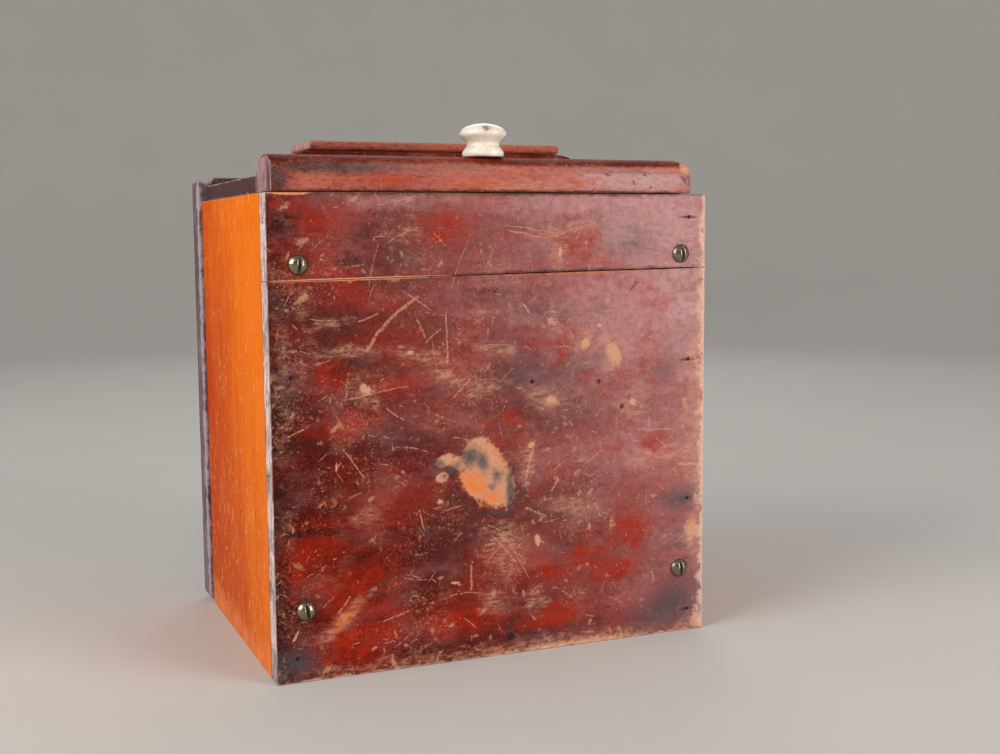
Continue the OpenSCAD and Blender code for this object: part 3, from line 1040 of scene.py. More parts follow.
@dataclass(frozen=True)
class Varnish:
    """Old varnish on wood, rubbed, scratched and stained, with a painted sheen in its hazing and painted
    shadow in its dirt.
    """

    name: str
    lay: Lay
    deep: Colour
    warm: Colour
    red: Colour
    haze: Colour
    rubbed: Colour
    bare: Colour
    grime: Colour
    edge_tone: Colour
    amber: Colour = paint(228, 124, 54)
    slate: Colour = paint(78, 74, 78)
    blotch: float = 30.0
    patchy: float = 1.2
    spread: float = 0.22
    figure: float = 0.35
    mottle: float = 0.6
    film: float = 0.3
    grain_width: float = 1.1
    grain_share: float = 0.3
    ember: float = 0.5
    rub: float = 0.5
    scuff: float = 0.5
    scuff_tone: float = 0.52
    scratch: float = 0.5
    scratch_turn: float = 0.0
    scratch_spread: float = 6.28
    strokes: tuple[Triple, ...] = (
        (6.0, 4.0, 0.24), (11.0, 9.0, 0.27), (21.0, 20.0, 0.3), (34.0, 34.0, 0.26)
    )
    chips: tuple[Triple, ...] = (
        (12.0, 1.8, 0.26), (5.0, 1.0, 0.36), (2.4, 0.44, 0.2)
    )
    haze_share: float = 0.4
    grime_share: float = 0.4
    fade_and_sheen_tone: float = 0.0
    fade_and_sheen_haze: float = 0.0
    gloss: float = 0.4
    specular: float = 0.3
    dent: float = 0.22
    edge_breaks: float = 5.5
    scores: tuple[Score, ...] = ()

    def _masks(self, w: Coat) -> dict[str, Socket]:
        """Where each kind of wear lies, and where the painted sheen and shade lie.

        Args:
            w: The material.

        Returns:
            Masks and values by name.
        """
        grain = w.effect(grain_effect(), {"Place": w.place, "Width": self.grain_width})
        rub = w.effect(rub_effect(), {"Place": w.place, "Amount": self.rub})
        masks = {**grain, **rub, "Edge": w.edge(1.0, self.edge_breaks), "Fade": w.value_of("fade")}
        for stain, (grit, ragged) in PATCHES.items():
            feeds = {"Depth": w.value_of(stain.value), "Place": w.place, "Grit": grit, "Ragged": ragged}
            patch = w.effect(patch_effect(), feeds)
            masks[stain.value] = patch["Mask" if stain is Stain.BARE else "Soft"]
        brushed = w.cloud(w.vector("MULTIPLY", w.place, (0.3, 1.0, 1.0)), 1.2, 4.0, 0.7)
        worn = w.times(w.ramp(w.cloud(w.place, 15.0, 3.0), 0.54, 0.7), self.scuff)
        worn = w.most(worn, masks["scuff"])
        masks["scuff"] = w.times(worn, w.ramp(brushed, 0.4, 0.64, 0.1, 1.0))
        often = w.total(w.ramp(rub["Zone"], 0.0, 1.0, 0.3, 1.3), worn)
        often = w.times(often, w.ramp(masks["Fade"], 0.45, 0.95, 1.0, 0.65))
        return masks | self._scratched(w, often)

    def _scratched(self, w: Coat, often: Socket) -> dict[str, Socket]:
        """Where chips, short scratches and all scratches lie.

        Args:
            w: The material.
            often: How much more often they come in worn spots.

        Returns:
            The three masks by name.
        """
        chips = (
            {"Cell": cell, "Size": size, "Share": w.times(often, share), "Seed": number + 0.5}
            for number, (cell, size, share) in enumerate(self.chips)
        )
        strokes = (
            {
                "Cell": cell, "Length": length, "Width": width, "Share": w.times(often, self.scratch),
                "Turn": self.scratch_turn, "Spread": self.scratch_spread, "Seed": float(number),
            }
            for number, (cell, length, width) in enumerate(self.strokes)
        )
        chip = w.layered(chip_effect(), chips)
        stroke = w.layered(scratch_effect(), strokes)
        wandering = w.warp(w.place, 5.0, 1.8)
        lines: Feed = 0.0
        for score in self.scores:
            feeds = {"Place": wandering, **score.feeds(), "Before": lines}
            lines = w.effect(score_effect(), feeds)["Mask"]
        broken = w.ramp(w.cloud(w.place, 1.1, 2.0), 0.34, 0.5)
        return {"chip": chip, "stroke": stroke, "scratch": w.most(stroke, w.times(lines, broken))}

    def _varnished(self, w: Coat, m: dict[str, Socket]) -> Socket:
        """Colour of the varnish itself, with its glow, its hazing and dirt, and the painted sheen and
        painted shadow that these carry.

        Args:
            w: The material.
            m: Masks by name.

        Returns:
            The colour.
        """
        drawn = w.vector("MULTIPLY", w.place, (0.55, 1.0, 1.0))
        # On the front, the tone shift and the film that follow the paling value are partly a painted sheen
        # towards the top right and painted shade towards the foot's left corner; on the lid's nosing they
        # are partly a painted sheen.
        tone = w.total(
            w.swing(w.cloud(drawn, self.blotch, 3.0, 0.5), self.patchy),
            w.swing(m["Figure"], self.figure),
            w.swing(m["Streaks"], self.grain_share),
            w.swing(m["Mottle"], self.mottle),
            w.swing(m["Micro"], self.mottle * 0.6),
            w.swing(m["Fade"], self.fade_and_sheen_tone),
        )
        colour = w.mix(w.ramp(tone, -self.spread, self.spread), self.deep, self.warm)
        film = w.total(
            w.times(w.ramp(w.cloud(drawn, 15.0, 4.0, 0.6), 0.46, 0.66), self.haze_share),
            w.times(m["Fade"], m["Fade"], self.fade_and_sheen_haze),
            w.times(m["haze"], self.film),
        )
        even = w.ramp(m["Mottle"], 0.3, 0.62, 1.0 - self.mottle * 0.7, 1.1)
        colour = w.mix(w.times(film, even), colour, self.haze)
        glow = w.times(w.ramp(w.cloud(drawn, 21.0, 3.0), 0.52, 0.68), self.ember)
        glow = w.most(glow, w.times(m["red"], 0.95))
        torn = w.ramp(w.cloud(drawn, 4.5, 6.0, 0.78), 0.36, 0.62, 0.35, 1.0)
        colour = w.mix(w.times(glow, torn), colour, self.red)
        # This dark film is dirt, and where the marks hold the gap under the lid it is a painted shadow.
        smudge_and_shade = w.times(w.ramp(w.cloud(drawn, 11.0, 4.0, 0.6), 0.54, 0.7), self.grime_share)
        smudge_and_shade = w.times(smudge_and_shade, w.ramp(m["Fade"], 0.35, 0.8, 1.0, 0.15))
        smudge_and_shade = w.most(smudge_and_shade, w.times(m["grime"], 0.88))
        colour = w.mix(w.times(smudge_and_shade, w.ramp(m["Micro"], 0.3, 0.6, 1.1, 0.7)), colour, self.grime)
        return w.mix(w.times(m["Pores"], 0.3), colour, self.grime)

    def _colour(self, w: Coat, m: dict[str, Socket]) -> Socket:
        """Colour of the worn finish, whose pale arrises are partly a painted highlight.

        Args:
            w: The material.
            m: Masks by name.

        Returns:
            The colour.
        """
        colour = self._varnished(w, m)
        specks = w.ramp(m["Micro"], 0.53, 0.74)
        specks = w.times(specks, w.ramp(m["Zone"], 0.0, 1.0, 0.08, self.rub * 0.9))
        colour = w.mix(w.most(specks, w.times(m["Mask"], 0.4)), colour, self.rubbed)
        colour = w.mix(w.times(m["scuff"], self.scuff_tone), colour, self.rubbed)
        colour = w.mix(w.times(m["scratch"], 0.62), colour, self.rubbed)
        wood = w.mix(w.ramp(m["Mottle"], 0.4, 0.6), self.bare, self.rubbed)
        opened = w.times(m["bare"], w.ramp(m["Micro"], 0.3, 0.5, 0.75, 1.0))
        colour = w.mix(w.most(opened, w.times(m["chip"], 0.62)), colour, wood)
        soaked = w.ramp(m["Mottle"], 0.36, 0.6, 0.5, 0.95)
        colour = w.mix(w.times(m["amber"], soaked), colour, self.amber)
        soaked = w.ramp(m["Mottle"], 0.36, 0.6, 0.98, 0.8)
        colour = w.mix(w.times(m["slate"], soaked), colour, self.slate)
        # Paler along the arrises: rubbing, and on some boards partly a painted highlight.
        bright = w.ramp(m["Micro"], 0.3, 0.55, 0.5, 0.9)
        edge = w.times(m["Edge"], bright, w.ramp(m["grime"], 0.0, 1.0, 1.0, 0.35))
        return w.mix(edge, colour, self.edge_tone)

    def material(self) -> Material:
        """Makes the material.

        Returns:
            The finished material.
        """
        w = Coat(self.name, self.lay)
        m = self._masks(w)
        colour = self._colour(w, m)
        matt = w.most(w.most(m["bare"], m["Edge"]), w.times(m["scuff"], 0.7))
        uneven = w.scaled(w.cloud(w.place, 12.0, 4.0, 0.65), 0.24, self.gloss - 0.12)
        rough = w.scaled(matt, 0.3, uneven)
        sunk = {"stroke": 0.5, "chip": 0.6, "scuff": 0.2, "bare": 0.7}
        low = w.total(*[w.times(m[key], share) for key, share in sunk.items()])
        raised = {"Streaks": 0.4, "Mottle": self.mottle, "Micro": 0.3}
        high = w.total(*[w.times(m[key], share) for key, share in raised.items()])
        feeds = {"Base Color": colour, "Roughness": rough, "Specular IOR Level": self.specular}
        return w.done(feeds, w.math("SUBTRACT", high, low), 0.55, self.dent)


@dataclass(frozen=True)
class EndGrain:
    """Sawn ends of boards: growth rings, pores and old dirt."""

    name: str
    pale: Colour
    dark: Colour
    grime: Colour
    rim: Colour
    ring: float = 2.2
    reach: float = 1.0
    edge_breaks: float = 7.0
    soak: float = 0.9
    grime_share: float = 0.5
    specular: float = 0.05
    rough: float = 0.5

    def material(self) -> Material:
        """Makes the material.

        Returns:
            The finished material.
        """
        w = Coat(self.name)
        rings = w.cloud(w.vector("MULTIPLY", w.place, (0.05, 1.0, 0.22)), self.ring, 3.0, 0.6)
        specks = w.cloud(w.place, 0.7, 3.0, 0.7)
        tone = w.total(w.times(rings, 0.6), w.times(specks, 0.4))
        colour = w.mix(w.ramp(tone, 0.38, 0.62), self.dark, self.pale)
        dirt = w.ramp(w.cloud(w.place, 11.0, 5.0, 0.68), 0.45, 0.62)
        dirt = w.most(w.times(dirt, self.grime_share), w.times(w.value_of("grime"), self.soak))
        colour = w.mix(dirt, colour, self.grime)
        checks = w.cloud(w.vector("MULTIPLY", w.place, (0.05, 0.15, 1.0)), 1.5, 2.0)
        colour = w.mix(w.times(w.ramp(checks, 0.64, 0.7), 0.6), colour, self.grime)
        colour = w.mix(w.times(w.edge(self.reach, self.edge_breaks), 0.7), colour, self.rim)
        rough = w.scaled(specks, 0.3, self.rough - 0.15)
        feeds = {"Base Color": colour, "Roughness": rough, "Specular IOR Level": self.specular}
        return w.done(feeds, tone, 0.7, 0.3)


@dataclass(frozen=True)
class BareWood:
    """Unfinished, aged wood."""

    name: str
    lay: Lay
    pale: Colour
    dark: Colour
    stain: Colour
    stain_share: float = 0.5
    grain_width: float = 1.3
    edge_breaks: float = 8.0
    specular: float = 0.25
    rough: float = 0.58

    def material(self) -> Material:
        """Makes the material.

        Returns:
            The finished material.
        """
        w = Coat(self.name, self.lay)
        grain = w.effect(grain_effect(), {"Place": w.place, "Width": self.grain_width})
        rub = w.effect(rub_effect(), {"Place": w.place, "Zone": 30.0, "Speck": 2.2, "Amount": 0.5})
        tone = w.scaled(grain["Figure"], 0.6, w.times(grain["Streaks"], 0.5))
        colour = w.mix(w.ramp(tone, 0.42, 0.68), self.dark, self.pale)
        blot = w.ramp(w.cloud(w.place, 24.0, 5.0, 0.64), 0.48, 0.66)
        colour = w.mix(w.times(blot, self.stain_share), colour, self.stain)
        colour = w.mix(w.times(grain["Pores"], 0.5), colour, self.stain)
        wear = w.edge(1.0, self.edge_breaks)
        light = w.most(w.times(rub["Mask"], 0.4), w.times(wear, 0.5))
        colour = w.mix(light, colour, self.pale)
        rough = w.scaled(grain["Streaks"], 0.25, self.rough)
        height = w.math("SUBTRACT", grain["Streaks"], w.times(grain["Pores"], 0.5))
        feeds = {"Base Color": colour, "Roughness": rough, "Specular IOR Level": self.specular}
        return w.done(feeds, height, 0.6, 0.3)


@dataclass(frozen=True)
class Glaze:
    """Cream glaze with fine crazing and dirt in the hollow of the neck."""

    name: str
    cream: Colour
    shade: Colour
    dirt: Colour
    gloss: float = 0.16

    def material(self) -> Material:
        """Makes the material.

        Returns:
            The finished material.
        """
        w = Coat(self.name)
        colour = w.mix(w.ramp(w.cloud(w.place, 7.0, 4.0, 0.6), 0.38, 0.64), self.cream, self.shade)
        feeds = {"Vector": w.place, "Scale": 0.45}
        cracks = w.node("ShaderNodeTexVoronoi", feeds, feature="DISTANCE_TO_EDGE").outputs["Distance"]
        craze = w.times(w.ramp(cracks, 0.0, 0.035, 1.0, 0.0), w.ramp(w.cloud(w.place, 5.0), 0.45, 0.6))
        colour = w.mix(w.times(craze, 0.3), colour, self.dirt)
        feeds = {"Depth": w.value_of("grime"), "Place": w.place, "Grit": 1.6, "Ragged": 0.9}
        soot = w.effect(patch_effect(), feeds)["Soft"]
        colour = w.mix(w.times(soot, 0.85), colour, self.dirt)
        rough = w.scaled(soot, 0.45, self.gloss)
        return w.done({"Base Color": colour, "Roughness": rough}, w.cloud(w.place, 3.0, 2.0), 0.25, 0.3)


@dataclass(frozen=True)
class OldMetal:
    """Worn metal under a film of tarnish or rust."""

    name: str
    clean: Colour
    film: Colour
    pits: Colour
    amount: float
    shine: float
    size: float = 1.6

    def material(self) -> Material:
        """Makes the material.

        Returns:
            The finished material.
        """
        w = Coat(self.name)
        feeds = {"Place": w.place, "Size": self.size, "Amount": self.amount}
        tarnish = w.effect(tarnish_effect(), feeds)
        dirty = w.most(tarnish["Film"], w.value_of("grime"))
        colour = w.mix(dirty, self.clean, self.film)
        colour = w.mix(w.times(tarnish["Pits"], 0.6), colour, self.pits)
        metallic = w.ramp(dirty, 0.2, 1.0, 1.0, 0.35)
        rough = w.scaled(tarnish["Hairs"], 0.1, w.scaled(dirty, 0.35, self.shine))
        height = w.math("SUBTRACT", w.times(dirty, 0.4), tarnish["Pits"])
        feeds = {"Base Color": colour, "Metallic": metallic, "Roughness": rough}
        return w.done(feeds, height, 0.4, 0.1)


FRONT_SCORES = tuple(
    Score((x1, z1), (x2, z2), width)
    for x1, z1, x2, z2, width in (
        (-34.5, 148, -45, 141, 0.8), (-43.5, 142, -51.5, 134, 0.9), (-50.5, 135.5, -56.5, 126.5, 0.8),
        (-23.5, 143, -23, 119, 0.5), (-49, 105, -41, 99, 0.4), (2.5, 173, 18, 170, 0.4),
        (1.5, 175, 19.5, 172.5, 0.35), (-66.5, 90.5, -57.5, 77.5, 0.5), (-6, 52, 6, 38, 0.3),
        (4, 52, -7, 40, 0.28), (-50.5, 141.5, -59.5, 138.5, 0.45), (-35.5, 139, -32, 131, 0.5),
        (-25.5, 135, -32.5, 129, 0.45), (-63.5, 117.5, -65, 109, 0.35), (-67, 108.5, -39, 113, 0.4),
        (-21, 106.5, -13.5, 115, 0.5), (9.5, 144, 13, 139.5, 0.8), (-79.5, 99.5, -88.5, 95.5, 0.45),
        (-36, 64, -33.5, 54.5, 0.45), (-64, 32.5, -69.5, 25.5, 0.55), (-14, 39.5, -14, 28.5, 0.55),
        (-52, 20, -39.5, 23.5, 0.45), (9.5, 60.5, 20.5, 55.5, 0.65), (41.5, 60.5, 44, 53.5, 0.5),
        (25, 71.5, 21.5, 66, 0.6), (14, 87, 10, 71.5, 0.9), (67, 95, 67, 89.5, 0.5),
        (60, 89.5, 78.5, 88.5, 0.45), (2, 48, 12, 30, 0.26), (80.5, 73.4, 93.5, 72.2, 0.8),
        (68.5, 28, 69.5, 22.5, 0.45), (-16.5, 71.5, -8.5, 62, 0.6), (-7, 86, -6.4, 76, 0.5),
    )
)

FRONT_VARNISH = Varnish(
    name="front_varnish", lay=Lay.ACROSS, deep=paint(78, 15, 9), warm=paint(132, 27, 8),
    red=paint(162, 37, 12), haze=paint(188, 140, 139), rubbed=paint(208, 150, 122),
    bare=paint(205, 148, 114), grime=paint(34, 20, 18), edge_tone=paint(222, 184, 162), blotch=26.0,
    mottle=0.4, grain_width=0.7, grain_share=0.35, rub=0.45, scuff=0.3, scratch=0.42,
    scratch_turn=-0.9, scratch_spread=3.4, haze_share=0.13, fade_and_sheen_tone=0.25,
    fade_and_sheen_haze=0.62, gloss=0.36, specular=0.05, scores=FRONT_SCORES,
)

SIDE_VARNISH = Varnish(
    name="side_varnish", lay=Lay.UPRIGHT, deep=paint(184, 57, 4), warm=paint(237, 117, 12),
    red=paint(196, 60, 4), haze=paint(236, 138, 84), rubbed=paint(244, 170, 112),
    bare=paint(236, 150, 84), grime=paint(140, 44, 10), edge_tone=paint(214, 130, 60), blotch=40.0,
    patchy=0.4, spread=0.5, figure=0.25, mottle=0.35, grain_width=0.8, grain_share=1.1, ember=0.3,
    rub=0.45, scuff=0.3, scuff_tone=0.16, scratch=0.24, scratch_spread=0.7,
    strokes=((7.0, 6.0, 0.7), (15.0, 9.0, 0.9), (4.6, 4.0, 0.55)),
    chips=((10.0, 0.9, 0.2), (5.0, 0.5, 0.25)), film=0.6, haze_share=0.05, grime_share=0.2,
    fade_and_sheen_tone=1.5, gloss=0.46, specular=0.015,
)

LID_VARNISH = Varnish(
    name="lid_varnish", lay=Lay.ROLLED, deep=paint(102, 26, 6), warm=paint(184, 84, 58),
    red=paint(186, 76, 42), haze=paint(190, 150, 148), rubbed=paint(208, 156, 132),
    bare=paint(198, 138, 96), grime=paint(38, 26, 24), edge_tone=paint(170, 116, 92), ember=0.25,
    mottle=0.75, spread=0.3, rub=0.25, scuff=0.35, scratch=0.4, scratch_spread=4.0,
    strokes=((5.0, 3.0, 0.24), (10.0, 7.0, 0.26)),
    chips=((9.0, 0.9, 0.14), (4.0, 0.5, 0.16), (2.0, 0.32, 0.14)), film=0.65, haze_share=0.05,
    fade_and_sheen_tone=0.75, fade_and_sheen_haze=0.4, specular=0.015, dent=1.8,
)

# The pale edge tone of the back board is partly wear and partly a painted highlight along its rounded
# arrises.
BACK_VARNISH = Varnish(
    name="back_varnish", lay=Lay.BACKED, deep=paint(66, 46, 52), warm=paint(106, 80, 84),
    red=paint(118, 66, 56), haze=paint(142, 126, 138), rubbed=paint(172, 152, 152),
    bare=paint(160, 128, 110), grime=paint(40, 30, 32), edge_tone=paint(176, 162, 170),
    scuff=0.3, scratch=0.4, haze_share=0.5, grime_share=0.5, gloss=0.42,
)

# The near-white ends of the front boards are partly pale end grain and partly a painted highlight of their
# glint.
BOARD_ENDS = EndGrain(
    "board_ends", pale=paint(255, 236, 232), dark=paint(174, 140, 136), grime=paint(64, 46, 50),
    rim=paint(120, 92, 90), reach=2.4, soak=0.2, grime_share=0.55,
)
WALL_ENDS = EndGrain(
    "wall_ends", pale=paint(186, 152, 126), dark=paint(128, 94, 74), grime=paint(62, 44, 38),
    rim=paint(196, 164, 140), soak=0.4,
)
# The pale rim of the lid's ends is partly wear and partly a painted highlight along their arrises.
LID_ENDS = EndGrain(
    "lid_ends", pale=paint(190, 152, 156), dark=paint(132, 98, 102), grime=paint(62, 38, 40),
    rim=paint(206, 176, 178), reach=0.7, grime_share=0.25, specular=0.03,
)
CAP_ENDS = EndGrain(
    "cap_ends", pale=paint(196, 156, 154), dark=paint(156, 114, 112), grime=paint(92, 60, 58),
    rim=paint(206, 168, 166), grime_share=0.2,
)
INNER_ACROSS = BareWood(
    "bare_wood_across", Lay.ACROSS, paint(192, 150, 104), paint(150, 106, 66), paint(104, 72, 48)
)
INNER_UPRIGHT = BareWood(
    "bare_wood_upright", Lay.UPRIGHT, paint(196, 152, 104), paint(152, 106, 66), paint(106, 72, 48)
)
DARK_EDGE = BareWood(
    "dark_edges", Lay.ROLLED, paint(150, 98, 70), paint(92, 48, 34), paint(52, 30, 26), stain_share=0.7
)
KNOB_GLAZE = Glaze("knob_glaze", paint(243, 236, 222), paint(232, 217, 198), paint(96, 64, 42))
SCREW_STEEL = OldMetal(
    "screw_steel", paint(150, 132, 114), paint(56, 42, 34), paint(26, 20, 18), amount=0.32, shine=0.15
)
OLD_BRASS = OldMetal(
    "old_brass", paint(134, 108, 84), paint(64, 48, 42), paint(36, 26, 24), amount=0.6, shine=0.34
)
OLD_IRON = OldMetal(
    "old_iron", paint(96, 88, 82), paint(44, 28, 22), paint(24, 17, 15), amount=0.6, shine=0.45, size=1.0
)


@functools.cache
def material_of(finish: Finish) -> Material:
    """The material of a finish, made once."""
    return finish.material()


def redress(node: str, finish: Finish) -> None:
    """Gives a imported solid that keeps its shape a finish.

    Args:
        node: Name of the solid.
        finish: Its finish.
    """
    materials = frame["nodes"][node].data.materials
    materials.clear()
    materials.append(material_of(finish))
    log.info("%s keeps its packed shape in %s", node, finish.name)


def dressed_piece(
    name: str, shell: Shell, dress: dict[Side, Finish], body: str, slot: str, *nodes: str
) -> bpy.types.Object:
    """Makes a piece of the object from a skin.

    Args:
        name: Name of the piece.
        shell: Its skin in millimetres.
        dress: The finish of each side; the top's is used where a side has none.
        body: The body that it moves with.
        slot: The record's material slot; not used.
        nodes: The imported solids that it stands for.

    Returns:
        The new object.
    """
    mesh = bpy.data.meshes.new(name)
    mesh.from_pydata((shell.points * MM).tolist(), [], shell.faces)
    finishes = list(dict.fromkeys(dress.values()))
    for finish in finishes:
        mesh.materials.append(material_of(finish))
    order = {side: finishes.index(dress.get(side, dress[Side.TOP])) for side in Side}
    mesh.polygons.foreach_set("material_index", [order[side] for side in shell.sides])
    mesh.polygons.foreach_set("use_smooth", [True] * len(mesh.polygons))
    for key, values in shell.values.items():
        layer = mesh.attributes.new(key, "FLOAT", "POINT")
        layer.data.foreach_set("value", values.astype(np.float32))
    mesh.validate()
    mesh.update()
    piece = bpy.data.objects.new(name, mesh)
    bpy.context.scene.collection.objects.link(piece)
    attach(piece, body)
    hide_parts(*nodes)
    log.info("%s moves with %s and stands for %s", name, body, ", ".join(nodes))
    return piece


# No two nails, screws or hinge screws are nearer than this, in millimetres.
NAIL_ROOM = 4.0
SCREW_ROOM = 9.0
LEAF_SCREW_ROOM = 2.6


def spots(node: str, along: int, reach: float) -> list[Corners]:
    """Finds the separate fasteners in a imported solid.

    Args:
        node: Name of the solid.
        along: Number of the axis that the fasteners lie along.
        reach: No two of them are nearer than this, in millimetres.

    Returns:
        Lower and upper corner of each fastener, in millimetres.
    """
    mesh = frame["nodes"][node].data
    points = np.empty(len(mesh.vertices) * 3)
    mesh.vertices.foreach_get("co", points)
    points = points.reshape(-1, 3) / MM
    flat = np.delete(points, along, axis=1)
    left = np.ones(len(points), dtype=bool)
    found = []
    while left.any():
        first = flat[left][0]
        near = left & (np.abs(flat - first).max(axis=1) < reach)
        found.append((points[near].min(axis=0), points[near].max(axis=0)))
        left &= ~near
    return found


def middles(node: str, reach: float) -> list[tuple[float, float]]:
    """X and Z of the fasteners that go in from the front or the back."""
    return [tuple(((low + high) / 2)[[0, 2]]) for low, high in spots(node, 1, reach)]


# Size of a pin's bumps in millimetres, and how far the next pin's lie from them.
PIN_GRIT = 0.9
PIN_SHIFT = 3.1


def rough_pin(heights: Outline, seed: int, bumps: float, steps: int = 20) -> Shell:
    """A hand-made round pin whose outline is a little uneven.

    Args:
        heights: Pairs of height and radius from the foot up.
        seed: Seed of its unevenness.
        bumps: Size of the unevenness in millimetres.
        steps: Number of steps round.

    Returns:
        The skin, standing up at the origin.
    """
    shell = lathe(heights, steps)
    noise = Lattice(seed)
    swell = 1 - bumps * (0.5 + 0.5 * noise.at(shell.points + seed * PIN_SHIFT, PIN_GRIT))
    shell.points[:, :2] *= swell[:, None]
    shell.values["grime"] = np.zeros(len(shell.points))
    return shell


# X, Z, half length and half width in millimetres, turn in degrees and strength of each mark.
FRONT_MARKS: MarkTable = {
    Stain.BARE: (
        (-5.6, 75.8, 15, 8, -62), (-10.2, 84.6, 6.6, 6), (-11.6, 71.4, 8.2, 4.2, -45),
        (-2.2, 67.6, 6.4, 5.6), (-24.6, 82.4, 4.8, 2.8, 20, 0.85), (-19.2, 81, 4.6, 3, -30, 0.85),
        (-26, 75.6, 3.2, 2.6, 30, 0.85), (50.6, 122.2, 4.4, 7.6, 22, 0.74),
        (37.2, 126.8, 3, 4.6, -28, 0.72), (44, 134, 2, 1.4, 0, 0.75), (22, 104, 5.6, 3.4, -20, 0.66),
        (59.4, 101.3, 2.2, 2.8, 30, 0.72), (26, 164, 1.3, 3.2, 8, 0.8),
        (-86.5, 18.3, 3.4, 0.7, 60, 0.8), (-20.4, 32.2, 3.4, 1, -20, 0.8), (-27, 66, 1.7, 1, -35),
        (-69, 83, 0.7, 2.4, 0, 0.8), (12.8, 86, 2, 1.3, 30, 0.9), (15.4, 46.5, 1.3, 2.5, 10),
        (-57, 112.6, 3.4, 2.6, -20, 0.75), (-38.8, 125.8, 2.6, 1.1, 0, 0.8), (-85, 187.4, 8, 0.9),
        (88, 44.5, 5.2, 9, -6, 0.68), (32, 0.4, 66, 4.5, 0.6, 0.64), (91, 3.6, 7, 4.5, -30, 0.68),
        (-58, 154.9, 40, 0.55, 0.8),
    ),
    Stain.AMBER: (
        (-12.2, 71.6, 8, 4, -45), (-11, 74.4, 4.6, 2.6, -10, 0.9), (-4.4, 65.8, 7, 4.4, 5, 0.8),
        (-1.4, 82.6, 7, 2, -56, 0.66), (-58, 154.8, 38, 0.5, 0.8, 0.8), (-85, 187.4, 8, 0.8, 0, 0.8),
        (36, 155.7, 60, 0.8, 0.8, 0.62), (-67, 23, 10, 2.6, 42, 0.66),
    ),
    Stain.SLATE: (
        (-13.8, 83.2, 4.8, 4.2, 20), (-8.7, 80.8, 5.2, 2.8, -82, 0.95),
        (-27.4, 81, 3.6, 2.4, -20, 0.85), (-20.6, 79.4, 3.2, 2.4, 20, 0.82),
        (-25, 76.2, 1.8, 1.5, 0, 0.85), (-2.4, 75, 4.8, 3.4, -25, 0.76),
        (-4.2, 70.6, 2.8, 2.8, 0, 0.68), (3.2, 68, 2, 8.4, 3, 0.95), (-2.6, 59.4, 4.6, 1, -10, 0.85),
        (-27, 108.6, 11, 3.4, 12, 0.55), (-48.7, 181, 2.6, 9, -14, 0.5), (-33, 54.4, 3, 4.6, 30, 0.6),
        (-22, 133, 2.4, 8, 8, 0.5), (83, 58, 15, 7, 0, 0.78), (78, 13, 25, 13, 25, 0.8),
        (74, 113, 9, 8, 0, 0.62), (62, 170, 20, 13, 0, 0.56), (-10, 168, 12, 8, 0, 0.56),
        (10, 116, 9, 8, 0, 0.58), (44, 141, 8, 4, 0, 0.5), (-87, 118, 9, 40, 0, 0.45),
        (-84, 176, 12, 9, 0, 0.45), (-86, 8, 16, 10, 0, 0.74),
    ),
    Stain.SCUFF: (
        (-66, 127.4, 17, 2.4, 2), (-70.5, 138.4, 8, 2, 4), (-34, 124, 14, 3.4, -12),
        (-22, 116, 13, 3.6, -14), (-6, 111, 8, 3, 10), (-57, 110, 8, 4, -35), (-57, 63.5, 6, 4, 15),
        (-66, 24, 11, 3, 42), (-72, 18.5, 8, 2.4, 30), (0, 125.5, 10, 3, -8), (25.3, 163.2, 5, 6, 10),
        (38, 128, 7, 5), (50, 122, 6, 9, 10), (20, 104, 10, 5, -20), (60, 100, 8, 6),
        (11, 80, 4, 10, -10), (30, 60, 12, 4, -8), (14.8, 21.2, 5, 6, 20), (-4.3, 23.4, 6, 5),
        (72, 78, 16, 4, 6), (88, 42, 5, 9), (90, 110, 5, 30), (88, 75, 7, 10), (0, 44, 9, 12),
        (-80, 140, 6, 24, 0, 0.55), (-40, 171, 12, 8, 0, 0.6), (30, 173, 12, 3, 12),
        # The long scuff down the right edge is partly wear and partly a painted highlight.
        (94.5, 96, 8, 110), (10, 1, 110, 5, 0, 0.95), (-89, 120, 5, 60, 0, 0.62),
    ),
    Stain.GRIME: (
        # The long line along the top edge is a painted shadow in the gap under the lid.
        (-95, 94, 11, 200, 0, 0.8), (0, 187.8, 120, 1.3), (-82, 58.4, 20, 2.4, 0, 0.85),
        (-62, 161.4, 6, 4, 0, 0.75), (-94, 10, 9, 18), (-90, 176, 9, 7, 0, 0.8),
        (-90, 148, 8, 5, 0, 0.7), (-60, 47, 22, 2.6, 0, 0.6), (-8, 149, 13, 3, -8, 0.6),
        (-74, 140, 14, 5, 0, 0.5), (8, 100, 12, 6, 0, 0.5), (41, 139.6, 4.4, 0.5, -4, 0.9),
        (30, 156.4, 66, 1, 0.8, 0.85), (-17.4, 68.8, 5, 1, -45, 0.8), (59.7, 149.8, 3.2, 0.6, 50),
        (-40, 1, 60, 2.4, -1.5, 0.6),
    ),
    # The broad hazing over the right half and along the top is partly a bloom in the varnish and partly a
    # painted sheen.
    Stain.HAZE: (
        (-48.7, 184, 14, 3), (60, 140, 46, 34, 20, 0.9), (70, 175, 34, 14), (60, 82, 34, 14, 8, 0.75),
        (40, 184, 60, 5),
    ),
    Stain.RED: (
        (38, 38, 12, 7, 10), (58, 47, 9, 9), (50, 30, 12, 5), (20, 34, 8, 5), (24, 14, 16, 6, 6),
        (-20, 16, 26, 7), (70, 83, 7, 6), (-70, 118, 9, 9, -30, 0.88), (-66, 98, 14, 7, 0, 0.88),
        (-86, 44, 9, 12, 0, 0.8), (-60, 32, 22, 12, 0, 0.85), (-58, 14, 24, 8, 8),
        (-76, 176, 10, 7, 0, 0.85), (-25, 172, 14, 10, 0, 0.88), (34, 167, 12, 9, 0, 0.82),
        (24, 127, 18, 10, -10, 0.72), (4, 99, 9, 8, 0, 0.75),
    ),
}

